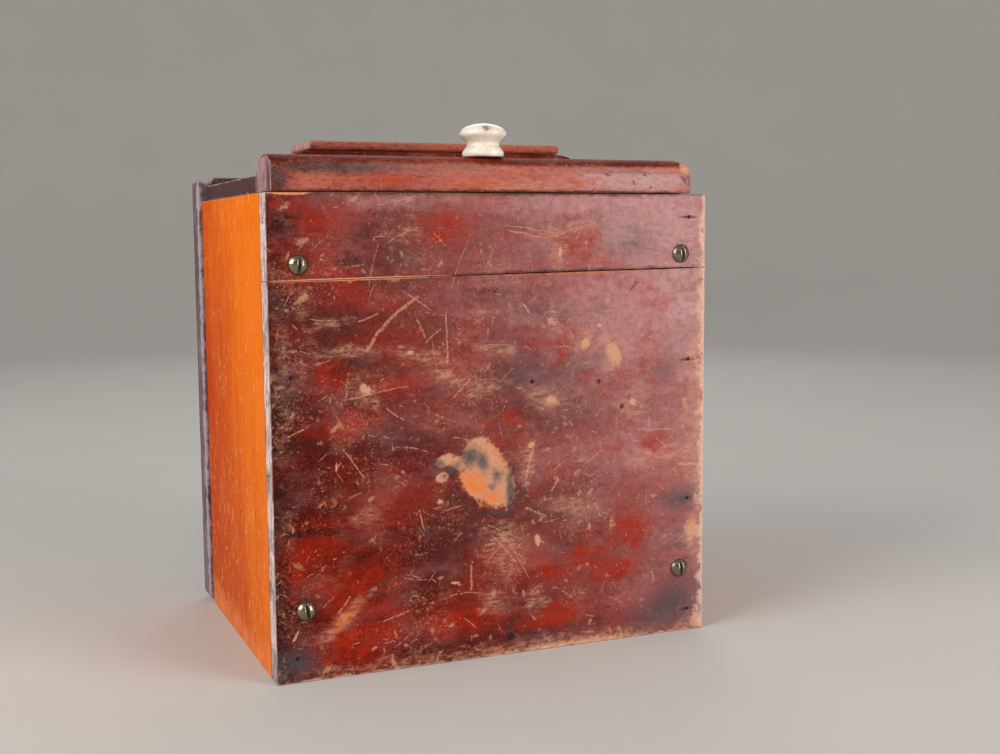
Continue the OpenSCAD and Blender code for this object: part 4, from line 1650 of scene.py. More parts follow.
LID_MARKS: MarkTable = {
    Stain.GRIME: (
        (-74, 197.2, 30, 3, 0, 0.92), (-91, 193, 8, 9, 0, 0.9), (-56, 189, 18, 1.2, 0, 0.6),
        # The long line along the lower front edge is a painted shadow in the gap above the front.
        (86, 191, 3, 6, 0, 0.7), (0, 187.9, 120, 1.1), (47.6, 195.5, 2, 0.5, -18),
        (64.9, 195.4, 1.2, 0.5, -18), (59.8, 192, 1.2, 0.6, -30), (67.6, 190.3, 1, 0.5, -30),
        (83.4, 193.8, 2.6, 0.4, -40), (84.4, 192, 2.4, 0.4, -40),
    ),
    Stain.RED: ((-48, 192, 16, 3, 0, 0.8), (-10, 190.6, 20, 2.4, 0, 0.8), (34, 192, 14, 3, 0, 0.7)),
    Stain.SCUFF: (
        (-20, 197.2, 40, 1.4, 0, 0.8), (44, 196.8, 40, 1.4, 0, 0.7), (10, 191, 30, 3, 0, 0.8),
    ),
    Stain.BARE: ((84.6, 198.2, 2.6, 2.4, -25),),
    Stain.SLATE: (
        (-58, 197, 40, 3, 0, 0.72), (-20, 197.4, 30, 2.2, 0, 0.62), (52, 197, 40, 2, 0, 0.6),
        (-89, 193, 5, 6, 0, 0.7),
    ),
    # The hazing on the nosing's right is partly a bloom and partly a painted sheen.
    Stain.HAZE: ((62, 192.5, 34, 4.4),),
}


def crowded(count: int) -> Array:
    """Places from -1 to 1 that stand closer together near both ends."""
    return np.sin(np.linspace(-math.pi / 2, math.pi / 2, count))


@dataclass
class FrontPanel:
    """The two front boards with their screws and nails. Sizes are millimetres."""

    step: float = 1.3
    arris: float = 0.8
    nick: float = 1.5
    joint_arris: float = 0.15
    tight: float = 0.3
    tight_reach: float = 1.6
    nail_pit: float = 0.75
    nail_pit_depth: float = 0.5
    nail_stain: tuple[float, float] = (5.0, 0.6)
    floor_pit: float = 1.25
    floor_stain: tuple[float, float] = (1.8, 1.8)
    holes: tuple[Pit, ...] = (
        Pit(13.4, 111.8, 0.7, 1.6), Pit(43.5, 110.5, 0.8, 1.4), Pit(54.3, 99.4, 0.8, 1.6)
    )
    foot_wear: float = 1.2
    # The wide pale band down the right edge is partly wear and partly a painted highlight of its glints.
    right_wear_and_glint: float = 4.4
    top_wear: float = 0.1
    no_wear: float = 0.05
    # The front pales towards the top right and darkens towards the foot's left corner: partly bleaching,
    # partly a painted sheen and painted shade.
    fade_and_sheen_middle: float = 0.48
    fade_and_sheen_across: float = 0.4
    fade_and_sheen_up: float = 0.22
    fade_and_sheen_rim: float = 0.35
    fade_and_sheen_reach: float = 6.0
    slot_width: float = 1.1
    slot_depth: float = 1.4
    slot_turns: tuple[float, ...] = (4.0, -7.0, 9.0, 3.0)
    rim: float = 0.4
    shank: float = 1.9
    shank_length: float = 10.0

    @property
    def front(self) -> float:
        """Y of the front face."""
        return Board.corners("front_lower_board")[0][1]

    def _wear(self) -> tuple[list[Pit], list[Mark]]:
        """Collects the front's holes and marks, painted sheen and painted shadow among the marks.

        Returns:
            The small holes and the marks.
        """
        nails = middles("front_nails", NAIL_ROOM)
        lowest = min(nails, key=lambda place: place[1])
        radii = [self.floor_pit if nail == lowest else self.nail_pit for nail in nails]
        pits = [Pit(*nail, radius, self.nail_pit_depth) for nail, radius in zip(nails, radii)]
        marks = marks_of(FRONT_MARKS)
        marks += [Mark(Stain.GRIME, *nail, *self.nail_stain) for nail in nails if nail != lowest]
        marks.append(Mark(Stain.GRIME, *lowest, *self.floor_stain))
        return [*pits, *self.holes], marks

    def _boards(self) -> None:
        """Makes the upper and the lower front board."""
        pits, marks = self._wear()
        upper_low, upper_high = Board.corners("front_upper_board")
        joint_right = Board.corners("front_lower_board")[1][2]
        width = upper_high[0] - upper_low[0]
        mesh = frame["nodes"]["front_upper_board"].data
        right = [v.co.z / MM for v in mesh.vertices if v.co.x / MM > upper_high[0] - self.arris * 2]
        rise = min(right) - upper_low[2]

        def upper_foot(points: Array) -> Array:
            """Height of the upper board's sloping foot, which all but meets the other at the left."""
            across = (points[:, 0] - upper_low[0]) / width
            return upper_low[2] + rise * across - self.tight * np.clip(1 - across * self.tight_reach, 0, 1)

        def lower_top(points: Array) -> Array:
            """Height of the lower board's sloping upper edge."""
            return joint_right - rise * (upper_high[0] - points[:, 0]) / width

        def fade(points: Array) -> Array:
            """How pale and hazy the front is, from the foot's left corner to the top right one: partly
            bleaching, partly a painted sheen, with painted shade towards the dark corner.

            Args:
                points: Points on the front.

            Returns:
                0 where it is dark, 1 where it is pale.
            """
            across = 2 * (points[:, 0] - upper_low[0]) / width - 1
            upward = 2 * points[:, 2] / upper_high[2] - 1
            rim = self.fade_and_sheen_rim * np.exp((points[:, 0] - upper_high[0]) / self.fade_and_sheen_reach)
            return np.clip(self.fade_and_sheen_middle + self.fade_and_sheen_across * across + self.fade_and_sheen_up * upward + rim, 0, 1)

        ends = {Side.LEFT: self.no_wear, Side.RIGHT: self.right_wear_and_glint}
        dress = {
            Side.FRONT: FRONT_VARNISH, Side.LEFT: BOARD_ENDS, Side.RIGHT: WALL_ENDS,
            Side.BACK: INNER_ACROSS, Side.TOP: DARK_EDGE, Side.BOTTOM: DARK_EDGE,
        }
        for node, seed, joint, wear, slope in (
            ("front_upper_board", 11, Side.BOTTOM, {Side.TOP: self.top_wear}, {"foot": upper_foot}),
            ("front_lower_board", 12, Side.TOP, {Side.BOTTOM: self.foot_wear}, {"top": lower_top}),
        ):
            low, high = Board.corners(node)
            own = [pit for pit in pits if low[2] < pit.z < high[2]]
            board = Board(
                low, high, seed, step=self.step, arris=self.arris, nick=self.nick, pits=own, marks=marks,
                fine_x=[pit.x for pit in own], fine_z=[pit.z for pit in own], fade=fade,
                wear={**ends, **wear, joint: self.no_wear}, sharp={joint: self.joint_arris}, **slope,
            )
            name = node.replace("_board", "_panel")
            dressed_piece(name, board.build(), dress, "box", "front_wood", node)

    def _screw_head(self, low: Array, high: Array, turn: float) -> Shell:
        """One slotted round head on its shank.

        Args:
            low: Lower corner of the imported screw.
            high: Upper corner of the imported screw.
            turn: Turn of the slot from upright, in degrees.

        Returns:
            The skin in place.
        """
        radius = (high[0] - low[0]) / 2
        proud = self.front - low[1]
        half = self.slot_width / 2
        lines = crowded(23) * radius
        lines = lines[(np.abs(lines) > half + 0.2) | (np.abs(lines) < half - 0.15)]
        walls = [side * (half + step) for side in (-1, 1) for step in (-0.06, 0.02, 0.1)]
        xs = np.sort(np.concatenate([lines, walls]))
        shell = box_shell(xs, crowded(21), np.array([-1.0, self.rim, 1.0]))
        x, share, level = shell.points.T
        y = share * np.sqrt(np.maximum(radius**2 - x**2, 0))
        reach = np.hypot(x, y)
        cap = proud - self.rim
        ball = (radius**2 + cap**2) / (2 * cap)
        dome = self.rim + np.sqrt(np.maximum(ball**2 - reach**2, 0)) - (ball - cap)
        in_slot = np.clip((half + 0.04 - np.abs(x)) / 0.1, 0, 1)
        cut = np.minimum(dome, proud - self.slot_depth)
        top = dome + (cut - dome) * in_slot
        z = np.where(level == 1.0, top, np.minimum(level, top - 0.01))
        cos, sin = math.cos(math.radians(turn)), math.sin(math.radians(turn))
        spun = np.stack([x * cos - y * sin, x * sin + y * cos, z], axis=1)
        shell.values["grime"] = np.maximum(in_slot * 0.9, np.clip(reach / radius - 0.86, 0, 1) * 4)
        middle = (low + high) / 2
        place = (middle[0], self.front, middle[2])
        shell.points = turned(spun, Axis.FORWARD, place)
        outline = [(0, 0), (0, self.shank), (self.shank_length, self.shank), (self.shank_length, 0)]
        shank = rough_pin(outline, 3, 0.02)
        shank.points = turned(shank.points, Axis.BACKWARD, place)
        return shell.joined(shank)

    def _screws(self) -> None:
        """Makes the four round-head screws."""
        heads = sorted(spots("front_screws", 1, SCREW_ROOM), key=lambda spot: (-spot[0][2], spot[0][0]))
        shells = [self._screw_head(low, high, turn) for (low, high), turn in zip(heads, self.slot_turns)]
        whole = functools.reduce(Shell.joined, shells)
        steel = {Side.TOP: SCREW_STEEL}
        dressed_piece("round_head_screws", whole, steel, "box", "screw_steel", "front_screws")

    def build(self) -> None:
        """Makes the whole front."""
        self._boards()
        self._screws()
        nail_row("front_nail_heads", "front_nails", Axis.BACKWARD, 21)


def nail_row(name: str, node: str, axis: Axis, seed: int) -> None:
    """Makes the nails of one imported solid.

    Args:
        name: Name of the piece.
        node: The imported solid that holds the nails.
        axis: The way that their points face, or up for brads driven in from above.
        seed: Seed of their unevenness.
    """
    along = 2 if axis is Axis.UP else 1
    flip = np.array([1, -1, -1] if axis is Axis.UP else [1, 1, 1])
    shells: list[Shell] = []
    for number, (low, high) in enumerate(spots(node, along, NAIL_ROOM)):
        length = high[along] - low[along]
        radius = (high[0] - low[0]) / 2
        outline = [
            (0, 0), (0, radius * 0.8), (0.18, radius), (0.7, radius * 0.95),
            (0.8, radius * 0.64), (length - 3, radius * 0.6), (length, 0),
        ]
        shell = rough_pin(outline, seed + number, 0.16, 16)
        shell.values["grime"] += 1.0
        foot = (low + high) / 2
        foot[along] = low[along] if axis is Axis.BACKWARD else high[along]
        shell.points = turned(shell.points * flip, axis, foot)
        shells.append(shell)
    body = "lid" if axis is Axis.UP else "box"
    whole = functools.reduce(Shell.joined, shells)
    dressed_piece(name, whole, {Side.TOP: OLD_IRON}, body, "old_iron", node)


HINGE_SIDES = ("left", "right")
# Room cut round the hinge barrels and beside the leaves, in millimetres.
BARREL_ROOM = 2.7
LEAF_ROOM = 0.3


def leaf_corners(leaf: str) -> list[Corners]:
    """Corners of both hinges' leaves of one kind, in millimetres."""
    return [Board.corners(f"hinge_{side}_{leaf}_leaf") for side in HINGE_SIDES]


def below_barrels(height: Array, points: Array, leaf: str) -> Array:
    """Cuts an upper edge away round the hinge barrels.

    Args:
        height: Height of the edge at each point.
        points: The points.
        leaf: Which leaves lie on the board.

    Returns:
        The height with the cuts.
    """
    off = points[:, 1] - HINGE_AXIS[0]
    under = HINGE_AXIS[1] - np.sqrt(np.maximum(BARREL_ROOM**2 - off**2, 0))
    for low, high in leaf_corners(leaf):
        inside = (points[:, 0] > low[0] - LEAF_ROOM) & (points[:, 0] < high[0] + LEAF_ROOM)
        height = np.where(inside & (np.abs(off) < BARREL_ROOM), np.minimum(height, under), height)
    return height


@dataclass
class Carcass:
    """Side panels, back board and bottom board. Sizes are millimetres."""

    side_step: float = 4.0
    side_arris: float = 0.35
    side_nick: float = 0.3
    side_wave: float = 0.08
    side_reach: float = 60.0
    scuff_height: float = 10.0
    scuff_reach: float = 60.0
    haze_reach: float = 12.0
    back_step: float = 4.0
    back_arris: float = 2.2
    back_nick: float = 1.2
    # Width of the pale band on the back board's arrises, partly wear and partly a painted highlight.
    back_wear_and_glint: float = 2.4
    back_corner: float = 5.0
    nail_pit: float = 1.7
    nail_pit_depth: float = 0.5
    notch_lines: tuple[float, ...] = (0.0, 1.2)

    def _sides(self) -> None:
        """Makes the two side panels."""
        for node, seed, outer, inner in (
            ("left_side", 31, Side.LEFT, Side.RIGHT),
            ("right_side", 32, Side.RIGHT, Side.LEFT),
        ):
            low, high = Board.corners(node)

            def fade(points: Array) -> Array:
                """Brighter towards the front and the top."""
                back = (points[:, 1] - low[1]) / (high[1] - low[1])
                return np.clip(0.6 * (1 - back) + 0.4 * points[:, 2] / high[2], 0, 1)

            rubbed = [
                Mark(Stain.SCUFF, low[0], self.scuff_height, self.side_reach, self.scuff_reach),
                Mark(Stain.HAZE, low[0], 0.0, self.side_reach, self.haze_reach, strength=0.9),
            ]
            board = Board(
                low, high, seed, step=self.side_step, arris=self.side_arris, nick=self.side_nick,
                wave=self.side_wave, marks=rubbed, fade=fade,
            )
            dress = {
                outer: SIDE_VARNISH, inner: INNER_UPRIGHT, Side.FRONT: DARK_EDGE, Side.BACK: DARK_EDGE,
                Side.BOTTOM: WALL_ENDS, Side.TOP: WALL_ENDS,
            }
            dressed_piece(f"{node}_panel", board.build(), dress, "box", "side_wood", node)

    def _round_corners(self, shell: Shell, low: Array, high: Array) -> None:
        """Rounds the lower corners of the back board.

        Args:
            shell: Skin of the board.
            low: Lower corner of the board.
            high: Upper corner of the board.
        """
        reach = self.back_corner
        for side, edge in ((-1, low[0]), (1, high[0])):
            start = edge - side * reach
            u = np.clip((shell.points[:, 0] - start) * side / reach, 0, 1)
            v = np.clip((low[2] + reach - shell.points[:, 2]) / reach, 0, 1)
            both = (u > 0) & (v > 0)
            shell.points[both, 0] = start + side * reach * (u * np.sqrt(1 - v * v / 2))[both]
            shell.points[both, 2] = low[2] + reach - reach * (v * np.sqrt(1 - u * u / 2))[both]

    def _back(self) -> None:
        """Makes the back board, with room for the hinge barrels."""
        low, high = Board.corners("back_board")
        nails = middles("back_nails", NAIL_ROOM)
        leaf_ends = [edge[0] for pair in leaf_corners("back") for edge in pair]
        board = Board(
            low, high, 41, step=self.back_step, arris=self.back_arris, unevenness=0.25, nick=self.back_nick,
            fine_x=[x for x, _ in nails] + leaf_ends, fine_z=[z for _, z in nails],
            fine_y=[HINGE_AXIS[0] - step for step in self.notch_lines],
            pits=[Pit(x, z, self.nail_pit, self.nail_pit_depth) for x, z in nails], pit_side=Side.BACK,
            wear={side: self.back_wear_and_glint for side in Side},
            top=lambda points: below_barrels(np.full(len(points), high[2]), points, "back"),
        )
        shell = board.build()
        inner, _, wall_top = Board.corners("left_side")[1]
        faces = np.array([shell.points[list(face)].mean(axis=0) for face in shell.faces])
        for number in np.flatnonzero((np.abs(faces[:, 0]) > abs(inner)) | (faces[:, 2] > wall_top)):
            if shell.sides[number] is Side.FRONT:
                shell.sides[number] = Side.BACK
        self._round_corners(shell, low, high)
        dress = {side: BACK_VARNISH for side in (Side.BACK, Side.LEFT, Side.RIGHT, Side.TOP)}
        dress |= {Side.BOTTOM: WALL_ENDS, Side.FRONT: INNER_UPRIGHT}
        dressed_piece("back_panel", shell, dress, "box", "back_wood", "back_board")

    def build(self) -> None:
        """Makes the sides, the back, the bottom and the back nails."""
        self._sides()
        self._back()
        floor = Board.of("bottom_board", 51, step=5.0, arris=0.4, nick=0.4)
        bare = {Side.TOP: INNER_ACROSS}
        dressed_piece("bottom_panel", floor.build(), bare, "box", "bare_wood", "bottom_board")
        nail_row("back_nail_heads", "back_nails", Axis.FORWARD, 61)


@dataclass
class Lid:
    """The lid with its nosing, riser, cap and brads. Sizes are millimetres."""

    slab: float = 7.0
    nosing_front: float = 8.0
    crest: float = 11.7
    nosing_depth: float = 22.5
    quirk: float = 1.0
    cove: float = 6.5
    right_round: float = 6.0
    left_round: float = 1.2
    arris: float = 1.0
    nick: float = 1.6
    across_step: float = 1.6
    flat_step: float = 4.0
    slab_step: float = 1.4
    curve_lines: int = 12
    pale_rise: float = 3.8
    pale_soft: float = 1.8
    pale_lean: float = 0.2
    marked_depth: float = 6.0
    soot_start: float = 4.0
    soot_soft: float = 8.0
    riser_bevel: float = 6.0
    riser_fall: float = 1.4
    cap_arris: float = 1.8
    cap_fade: float = 0.6
    dents: tuple[Pit, ...] = (
        Pit(47.8, 195.4, 1.1, 0.5), Pit(64.9, 195.2, 0.9, 0.4), Pit(59.8, 192.0, 0.8, 0.5),
        Pit(67.6, 190.3, 0.7, 0.4), Pit(18.0, 191.4, 0.7, 0.4), Pit(-23.0, 189.9, 0.8, 0.4),
    )

    def _height(self, back: Array, rise: float) -> Array:
        """Height of the lid's outline over its underside.

        Args:
            back: Distance behind the nosing's front.
            rise: Height of the crest.

        Returns:
            The height at each distance.
        """
        roll = np.clip(1 - back / self.crest, 0, 1)
        front = self.nosing_front + (rise - self.nosing_front) * np.sqrt(np.maximum(1 - roll**2, 0))
        fall = np.clip((back - self.crest) / (self.nosing_depth - self.crest), 0, 1)
        foot = self.slab + self.quirk
        behind = foot + (rise - foot) * np.sqrt(np.maximum(1 - fall**2, 0))
        hollow = np.clip((back - self.nosing_depth) / self.cove, 0, 1)
        flat = self.slab + self.quirk * (1 - np.sqrt(np.maximum(1 - (1 - hollow) ** 2, 0)))
        return np.where(back < self.crest, front, np.where(back < self.nosing_depth, behind, flat))

    def _lines(self, front: float, back: float) -> Array:
        """Places of the grid lines that follow the moulding.

        Args:
            front: Y of the lid's front.
            back: Y of its back.

        Returns:
            The places in rising order.
        """
        turns = np.linspace(0, math.pi / 2, self.curve_lines)
        roll = front + self.crest * (1 - np.cos(turns))
        fall = front + self.crest + (self.nosing_depth - self.crest) * np.sin(turns)
        cove = front + self.nosing_depth + self.cove * (1 - np.cos(turns))
        flat = stations(front + self.nosing_depth + self.cove, back, self.flat_step)
        places = np.unique(np.round(np.concatenate([roll, fall, cove, flat]), 3))
        return places[np.concatenate([[True], np.diff(places) > 0.03])]

    def _board(self) -> None:
        """Makes the moulded lid board."""
        low, high = Board.corners("lid_board")
        rise = high[2] - low[2]

        def top(points: Array) -> Array:
            """Height of the moulded upper face, rounded at its ends and cut at the hinges.

            Args:
                points: Points on the lid.

            Returns:
                The height at each point.
            """
            height = low[2] + self._height(points[:, 1] - low[1], rise)
            for end, reach in ((low[0], self.left_round), (high[0], self.right_round)):
                near = np.clip(1 - np.abs(points[:, 0] - end) / reach, 0, 1)
                height = np.minimum(height, high[2] - reach * (1 - np.sqrt(np.maximum(1 - near**2, 0))))
            return below_barrels(height, points, "lid")

        leaf_ends = [edge[0] for pair in leaf_corners("lid") for edge in pair]
        board = Board(
            low, high, 71, arris=self.arris, unevenness=0.6, nick=self.nick, pits=self.dents, top=top,
            fine_x=leaf_ends + [pit.x for pit in self.dents],
        )
        dress = {
            Side.TOP: LID_VARNISH, Side.FRONT: LID_VARNISH, Side.BACK: DARK_EDGE,
            Side.LEFT: LID_ENDS, Side.RIGHT: LID_ENDS, Side.BOTTOM: INNER_ACROSS,
        }
        dressed_piece("lid_panel", self._lid_shell(board), dress, "lid", "lid_wood", "lid_board")

    def _lid_shell(self, board: Board) -> Shell:
        """Skin of the lid board.

        Args:
            board: The lid as a board.

        Returns:
            The worn skin.
        """
        shell = box_shell(
            stations(board.low[0], board.high[0], self.across_step, board.fine_x),
            self._lines(board.low[1], board.high[1]),
            stations(0.0, self.slab, self.slab_step),
        )
        points = shell.points
        share = points[:, 2] / self.slab
        low, high = board.bounds(points)
        points[:, 2] = low[:, 2] + share * (high[:, 2] - low[:, 2])
        ends = np.minimum(points[:, 0] - low[:, 0], high[:, 0] - points[:, 0])
        back = points[:, 1] - low[:, 1]
        rear = high[:, 1] - points[:, 1]
        over = points[:, 2] - low[:, 2]
        rim = np.minimum.reduce([over, high[:, 2] - points[:, 2], back, rear])
        at_end = ends < ON_FACE
        # On the ends the pale rim follows the outline; it is partly wear and partly a painted highlight.
        shell.values["edge"] = np.where(at_end, rim, np.minimum(ends, rear + 0.4))
        # The nosing's front is paler, more so towards the right; the rightward paling is partly a painted
        # sheen.
        pale = np.clip((self.nosing_front + self.pale_rise - over) / self.pale_soft, 0, 1)
        pale = np.where(points[:, 1] < low[:, 1] + self.crest, pale, 0)
        shell.values["fade"] = pale * (1 - self.pale_lean + self.pale_lean * points[:, 0] / high[:, 0])
        near = points[:, 1] < low[:, 1] + self.marked_depth
        for stain, depth in stained(marks_of(LID_MARKS), points).items():
            shell.values[stain] = np.where(near, depth, 0)
        soot = np.clip((back - self.nosing_depth + self.soot_start) / self.soot_soft, 0, 1)
        grime = shell.values["grime"]
        shell.values["grime"] = np.where(at_end, np.maximum(grime, soot), grime)
        for number, face in enumerate(shell.faces):
            if shell.sides[number] is Side.BOTTOM and points[face[0], 1] < low[0, 1] + self.arris:
                shell.sides[number] = Side.FRONT
        shell.points = board.pitted(board.worn(points, low, high), points)
        return shell

    def _riser(self) -> None:
        """Makes the riser block, whose ends fall away."""
        low, high = Board.corners("lid_riser")

        def top(points: Array) -> Array:
            """Height of the riser's top, with its bevelled ends."""
            ends = np.minimum(points[:, 0] - low[0], high[0] - points[:, 0])
            return high[2] - self.riser_fall * np.clip(1 - ends / self.riser_bevel, 0, 1)

        faint = {side: 0.2 for side in Side}
        board = Board(low, high, 72, arris=0.6, nick=0.8, top=top, wear=faint)
        dress = {Side.TOP: LID_VARNISH, Side.LEFT: LID_ENDS, Side.RIGHT: LID_ENDS}
        dressed_piece("lid_riser_block", board.build(), dress, "lid", "lid_wood", "lid_riser")

    def _cap(self) -> None:
        """Makes the cap strip."""
        wear = {Side.LEFT: 2.0, Side.RIGHT: 2.0, Side.TOP: 0.5, Side.BOTTOM: 0.1}
        cap = Board.of("lid_cap", 73, step=2.4, arris=self.cap_arris, unevenness=0.3, nick=0.8, wear=wear)
        cap.fade = lambda points: np.full(len(points), self.cap_fade)
        dress = {Side.TOP: LID_VARNISH, Side.LEFT: CAP_ENDS, Side.RIGHT: CAP_ENDS}
        dressed_piece("lid_cap_strip", cap.build(), dress, "lid", "lid_wood", "lid_cap")

    def build(self) -> None:
        """Makes the lid board, the riser, the cap and its brads."""
        self._board()
        self._riser()
        self._cap()
        nail_row("cap_brad_heads", "cap_brads", Axis.UP, 81)


@dataclass
class Knob:
    """The glazed knob. Sizes are millimetres."""

    base: float = 8.45
    neck: float = 6.45
    base_height: float = 1.4
    neck_height: float = 5.2
    head_height: float = 9.1
    steps: int = 72
    swell: float = 0.012
    swell_size: float = 7.0
    stain: Triple = (-1.6, -7.6, 10.6)
    stain_reach: float = 4.4

    def _outline(self, radius: float, height: float) -> Outline:
        """Outline of the knob from its foot to its crown.

        Args:
            radius: Radius of the head.
            height: Height of the knob.

        Returns:
            Pairs of height and radius.
        """
        outline = [(0.0, 0.0), (0.0, self.base * 0.9), (0.15, self.base * 0.96)]
        for t in (0.5, 1.0):
            outline.append((self.base_height * t, self.base * (0.96 + 0.04 * math.sin(t * math.pi / 2))))
        for start, end, wide, slim in (
            (self.base_height, self.neck_height, self.base, self.neck),
            (self.neck_height, self.head_height, self.neck, radius),
        ):
            for t in np.linspace(0, 1, 12)[1:]:
                blend = 0.5 - 0.5 * math.cos(math.pi * t)
                outline.append((start + (end - start) * t, wide + (slim - wide) * blend))
        crown = height - self.head_height
        for angle in np.linspace(0, math.pi / 2, 14)[1:]:
            outline.append((self.head_height + crown * math.sin(angle), radius * math.cos(angle)))
        outline[-1] = (height, 0.0)
        return outline

    def build(self) -> None:
        """Makes the knob and dresses its screw."""
        low, high = Board.corners("knob")
        middle = (low + high) / 2
        shell = lathe(self._outline((high[0] - low[0]) / 2, high[2] - low[2]), self.steps)
        swell = 1 - self.swell * (0.5 + 0.5 * Lattice(91).at(shell.points + 50, self.swell_size))
        shell.points[:, :2] *= swell[:, None]
        x, y, height = shell.points.T
        neck = np.clip(1 - np.abs(height - self.neck_height + 1.2) / 3.4, 0, 1) * 0.42
        foot = np.clip(1 - height / 0.9, 0, 1) * 0.6
        aside = np.hypot(x - self.stain[0], y - self.stain[1])
        drop = np.clip(1 - np.hypot(aside, (height - self.stain[2]) * 1.3) / self.stain_reach, 0, 1)
        shell.values["grime"] = np.maximum(np.maximum(neck, foot), drop)
        shell.points = turned(shell.points, Axis.UP, (middle[0], middle[1], low[2]))
        dressed_piece("glazed_knob", shell, {Side.TOP: KNOB_GLAZE}, "lid", "glazed_knob", "knob")
        redress("knob_screw", OLD_IRON)


@dataclass
class Hinge:
    """One butt hinge: two leaves and a pin. Sizes are millimetres."""

    side: str
    seed: int
    leaf: float = 1.1
    leaf_gap: float = 0.4
    knuckle: float = 2.3
    waist: float = 0.995
    bore: float = 1.05
    knuckle_gap: float = 0.2
    ease: float = 0.2
    clear: float = 0.3
    weld: float = 0.15
    screw_pit: float = 1.8
    screw_sink: float = 0.1

    def _knuckle(self, start: float, end: float) -> Shell:
        """One sleeve of the barrel.

        Args:
            start: Left end.
            end: Right end.

        Returns:
            The skin in place.
        """
        length = end - start
        slight = self.ease * 0.3
        outline = [
            (0, self.bore), (0, self.knuckle - self.ease), (slight, self.knuckle - slight),
            (self.ease, self.knuckle), (length / 2, self.knuckle * self.waist),
            (length - self.ease, self.knuckle), (length - slight, self.knuckle - slight),
            (length, self.knuckle - self.ease), (length, self.bore),
        ]
        shell = lathe(outline, 28, ring=True)
        shell.points = turned(shell.points, Axis.RIGHT, (start, *HINGE_AXIS))
        return shell

    def _leaf(self, name: str, inner: float, outer: float, own: Sequence[int], body: str) -> None:
        """One leaf with its knuckles.

        Args:
            name: Which leaf it is.
            inner: Y of the face that meets the other leaf.
            outer: Y of the face that lies on wood.
            own: Numbers of the knuckles that this leaf carries.
            body: The body that it moves with.
        """
        node = f"hinge_{self.side}_{name}_leaf"
        low, high = Board.corners(node)
        span = (high[0] - low[0] - 2 * self.knuckle_gap) / 3
        starts = [low[0] + number * (span + self.knuckle_gap) for number in range(3)]
        axis_z = HINGE_AXIS[1]
        cut = axis_z - self.knuckle - self.clear
        root = axis_z - math.sqrt(self.knuckle**2 - (self.leaf + self.leaf_gap / 2) ** 2) + self.weld

        def top(points: Array) -> Array:
            """Height of the leaf, cut away under the other leaf's knuckles.

            Args:
                points: Points on the leaf.

            Returns:
                The height at each point.
            """
            height = np.full(len(points), cut)
            for start in (starts[number] for number in own):
                inside = (points[:, 0] > start - ON_FACE) & (points[:, 0] < start + span + ON_FACE)
                height = np.where(inside, root, height)
            return height

        heads = middles(f"hinge_{name}_screws", LEAF_SCREW_ROOM)
        heads = [head for head in heads if low[0] < head[0] < high[0]]
        board = Board(
            np.array([low[0], min(inner, outer), low[2]]), np.array([high[0], max(inner, outer), root]),
            self.seed, step=0.8, arris=0.18, wave=0.0, top=top,
            fine_x=[start - self.knuckle_gap / 2 for start in starts[1:]],
            pits=[Pit(x, z, self.screw_pit, self.screw_sink) for x, z in heads],
            pit_side=Side.FRONT if inner < outer else Side.BACK,
        )
        shell = board.build()
        for number in own:
            shell = shell.joined(self._knuckle(starts[number], starts[number] + span))
        plate = f"hinge_{self.side}_{name}_plate"
        dressed_piece(plate, shell, {Side.TOP: OLD_BRASS}, body, "old_brass", node)

    def build(self) -> None:
        """Makes both leaves and the pin."""
        axis_y = HINGE_AXIS[0]
        near = self.leaf_gap / 2
        self._leaf("lid", axis_y - near, axis_y - near - self.leaf, (1,), "lid")
        self._leaf("back", axis_y + near, axis_y + near + self.leaf, (0, 2), "box")
        node = f"hinge_{self.side}_pin"
        low, high = Board.corners(node)
        length, radius = high[0] - low[0], (high[2] - low[2]) / 2
        outline = [
            (0, 0), (0, radius * 0.7), (0.25, radius), (length / 2, radius),
            (length - 0.25, radius), (length, radius * 0.7), (length, 0),
        ]
        shell = rough_pin(outline, self.seed + 5, 0.03, 24)
        shell.points = turned(shell.points, Axis.RIGHT, (low[0], *HINGE_AXIS))
        dressed_piece(f"hinge_{self.side}_pin_rod", shell, {Side.TOP: OLD_IRON}, "box", "old_iron", node)


@dataclass(frozen=True)
class Lamp:
    """A softbox. Lengths are metres, power is watts."""

    name: str
    place: Triple
    aim: Triple
    width: float
    height: float
    power: float
    tint: Triple = (1.0, 1.0, 1.0)

    def build(self) -> None:
        """Hangs the softbox."""
        light = bpy.data.lights.new(self.name, "AREA")
        light.shape = "RECTANGLE"
        light.size = self.width
        light.size_y = self.height
        light.energy = self.power
        light.color = self.tint
        hung = bpy.data.objects.new(self.name, light)
        hung.location = self.place
        way = Vector(self.aim) - Vector(self.place)
        hung.rotation_euler = way.to_track_quat("-Z", "Y").to_euler()
        hung.visible_camera = False
        bpy.context.scene.collection.objects.link(hung)


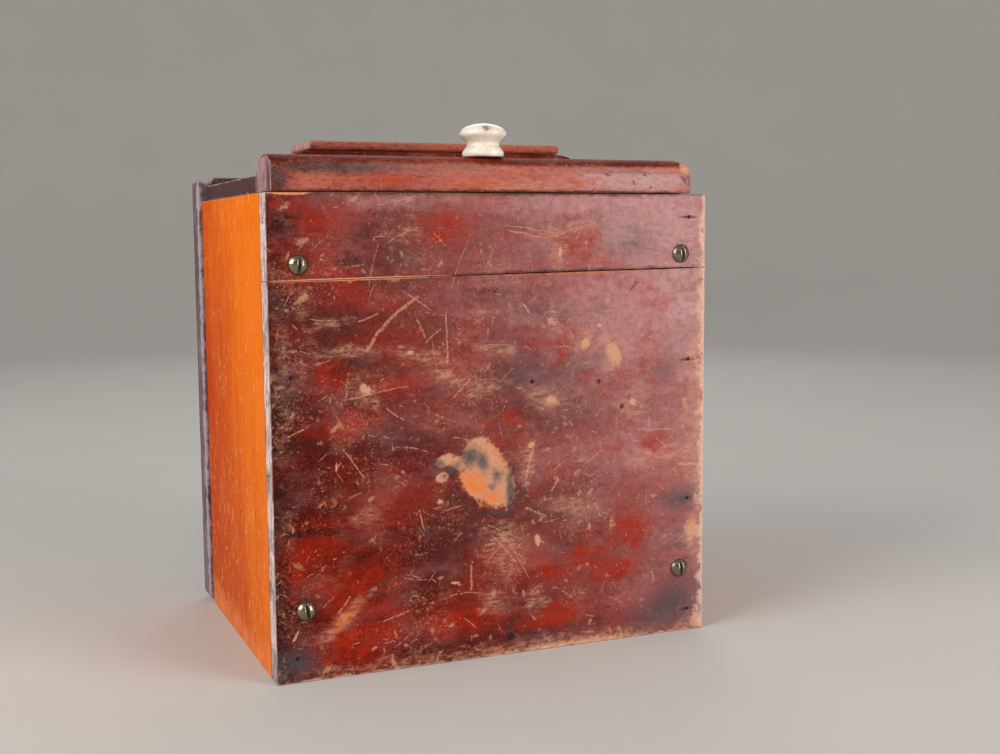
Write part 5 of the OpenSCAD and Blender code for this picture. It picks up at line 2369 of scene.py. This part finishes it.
@dataclass
class Studio:
    """Floor, light and camera. Lengths are metres, angles are degrees."""

    floor_radius: float = 1.5
    cove_radius: float = 0.7
    wall: float = 1.0
    floor_colour: Colour = paint(202, 199, 194)
    floor_shade: float = 0.94
    floor_mottle: float = 1 / 9
    sky: float = 0.4
    lens: float = 47.66
    sensor: float = 36.0
    eye: Triple = (-0.2036, -0.5584, 0.1696)
    tilt: Triple = (84.04, 0.47, -22.66)
    lamps: tuple[Lamp, ...] = (
        Lamp("left_softbox", (-1.15, -0.35, 0.75), (0.0, 0.0, 0.1), 0.9, 0.9, 14.0, (1.0, 0.97, 0.93)),
        Lamp("right_softbox", (0.78, -1.05, 0.45), (0.0, -0.05, 0.1), 0.7, 0.95, 12.0),
        Lamp("rear_softbox", (0.5, 1.1, 0.9), (0.0, 0.0, 0.1), 0.8, 0.8, 3.0),
    )

    def _floor(self) -> None:
        """Makes the pale floor, which rises all round into a wall."""
        outline = [(0.0, 0.0)]
        outline += [(0.0, radius) for radius in (0.2, 0.5, 1.0, self.floor_radius)]
        for angle in np.linspace(0, math.pi / 2, 12)[1:]:
            radius = self.floor_radius + self.cove_radius * math.sin(angle)
            outline.append((self.cove_radius * (1 - math.cos(angle)), radius))
        outline.append((self.cove_radius + self.wall, self.floor_radius + self.cove_radius))
        shell = lathe(outline, 96)
        mesh = bpy.data.meshes.new("studio_floor")
        mesh.from_pydata(shell.points.tolist(), [], [face[::-1] for face in shell.faces])
        mesh.polygons.foreach_set("use_smooth", [True] * len(mesh.polygons))
        w = Coat("pale_floor")
        soft = tuple(self.floor_shade * part for part in self.floor_colour[:3]) + (1.0,)
        mottle = w.cloud(w.place, self.floor_mottle / MM, 3.0, 0.5)
        w.feed(w.shader["Base Color"], w.mix(mottle, self.floor_colour, soft))
        w.feed(w.shader["Roughness"], 0.75)
        w.feed(w.shader["Specular IOR Level"], 0.15)
        mesh.materials.append(w.made)
        floor = bpy.data.objects.new("studio_floor", mesh)
        bpy.context.scene.collection.objects.link(floor)

    def _world(self) -> None:
        """Makes the even light from above."""
        world = bpy.data.worlds.new("studio_sky")
        world.use_nodes = True
        sky = world.node_tree.nodes["Background"]
        sky.inputs["Color"].default_value = (1.0, 1.0, 1.0, 1.0)
        sky.inputs["Strength"].default_value = self.sky
        bpy.context.scene.world = world

    def _camera(self) -> None:
        """Sets up the camera at the photograph's angle."""
        data = bpy.data.cameras.new("camera")
        data.sensor_width = self.sensor
        data.lens = self.lens
        camera = bpy.data.objects.new("camera", data)
        camera.location = self.eye
        camera.rotation_euler = [math.radians(angle) for angle in self.tilt]
        bpy.context.scene.collection.objects.link(camera)
        bpy.context.scene.camera = camera

    def build(self) -> None:
        """Sets up the camera, the floor and the light."""
        self._camera()
        self._floor()
        self._world()
        for lamp in self.lamps:
            lamp.build()
        bpy.context.scene.view_settings.view_transform = "Standard"


def main() -> None:
    """Builds the studio and every piece of the box."""
    logging.basicConfig(level=logging.INFO, format="%(name)s: %(message)s")
    Studio().build()
    FrontPanel().build()
    Carcass().build()
    Lid().build()
    Knob().build()
    for side, seed in zip(HINGE_SIDES, (101, 111)):
        Hinge(side, seed).build()
    for screws in ("hinge_lid_screws", "hinge_back_screws"):
        redress(screws, OLD_BRASS)


if __name__ == "__main__":
    main()
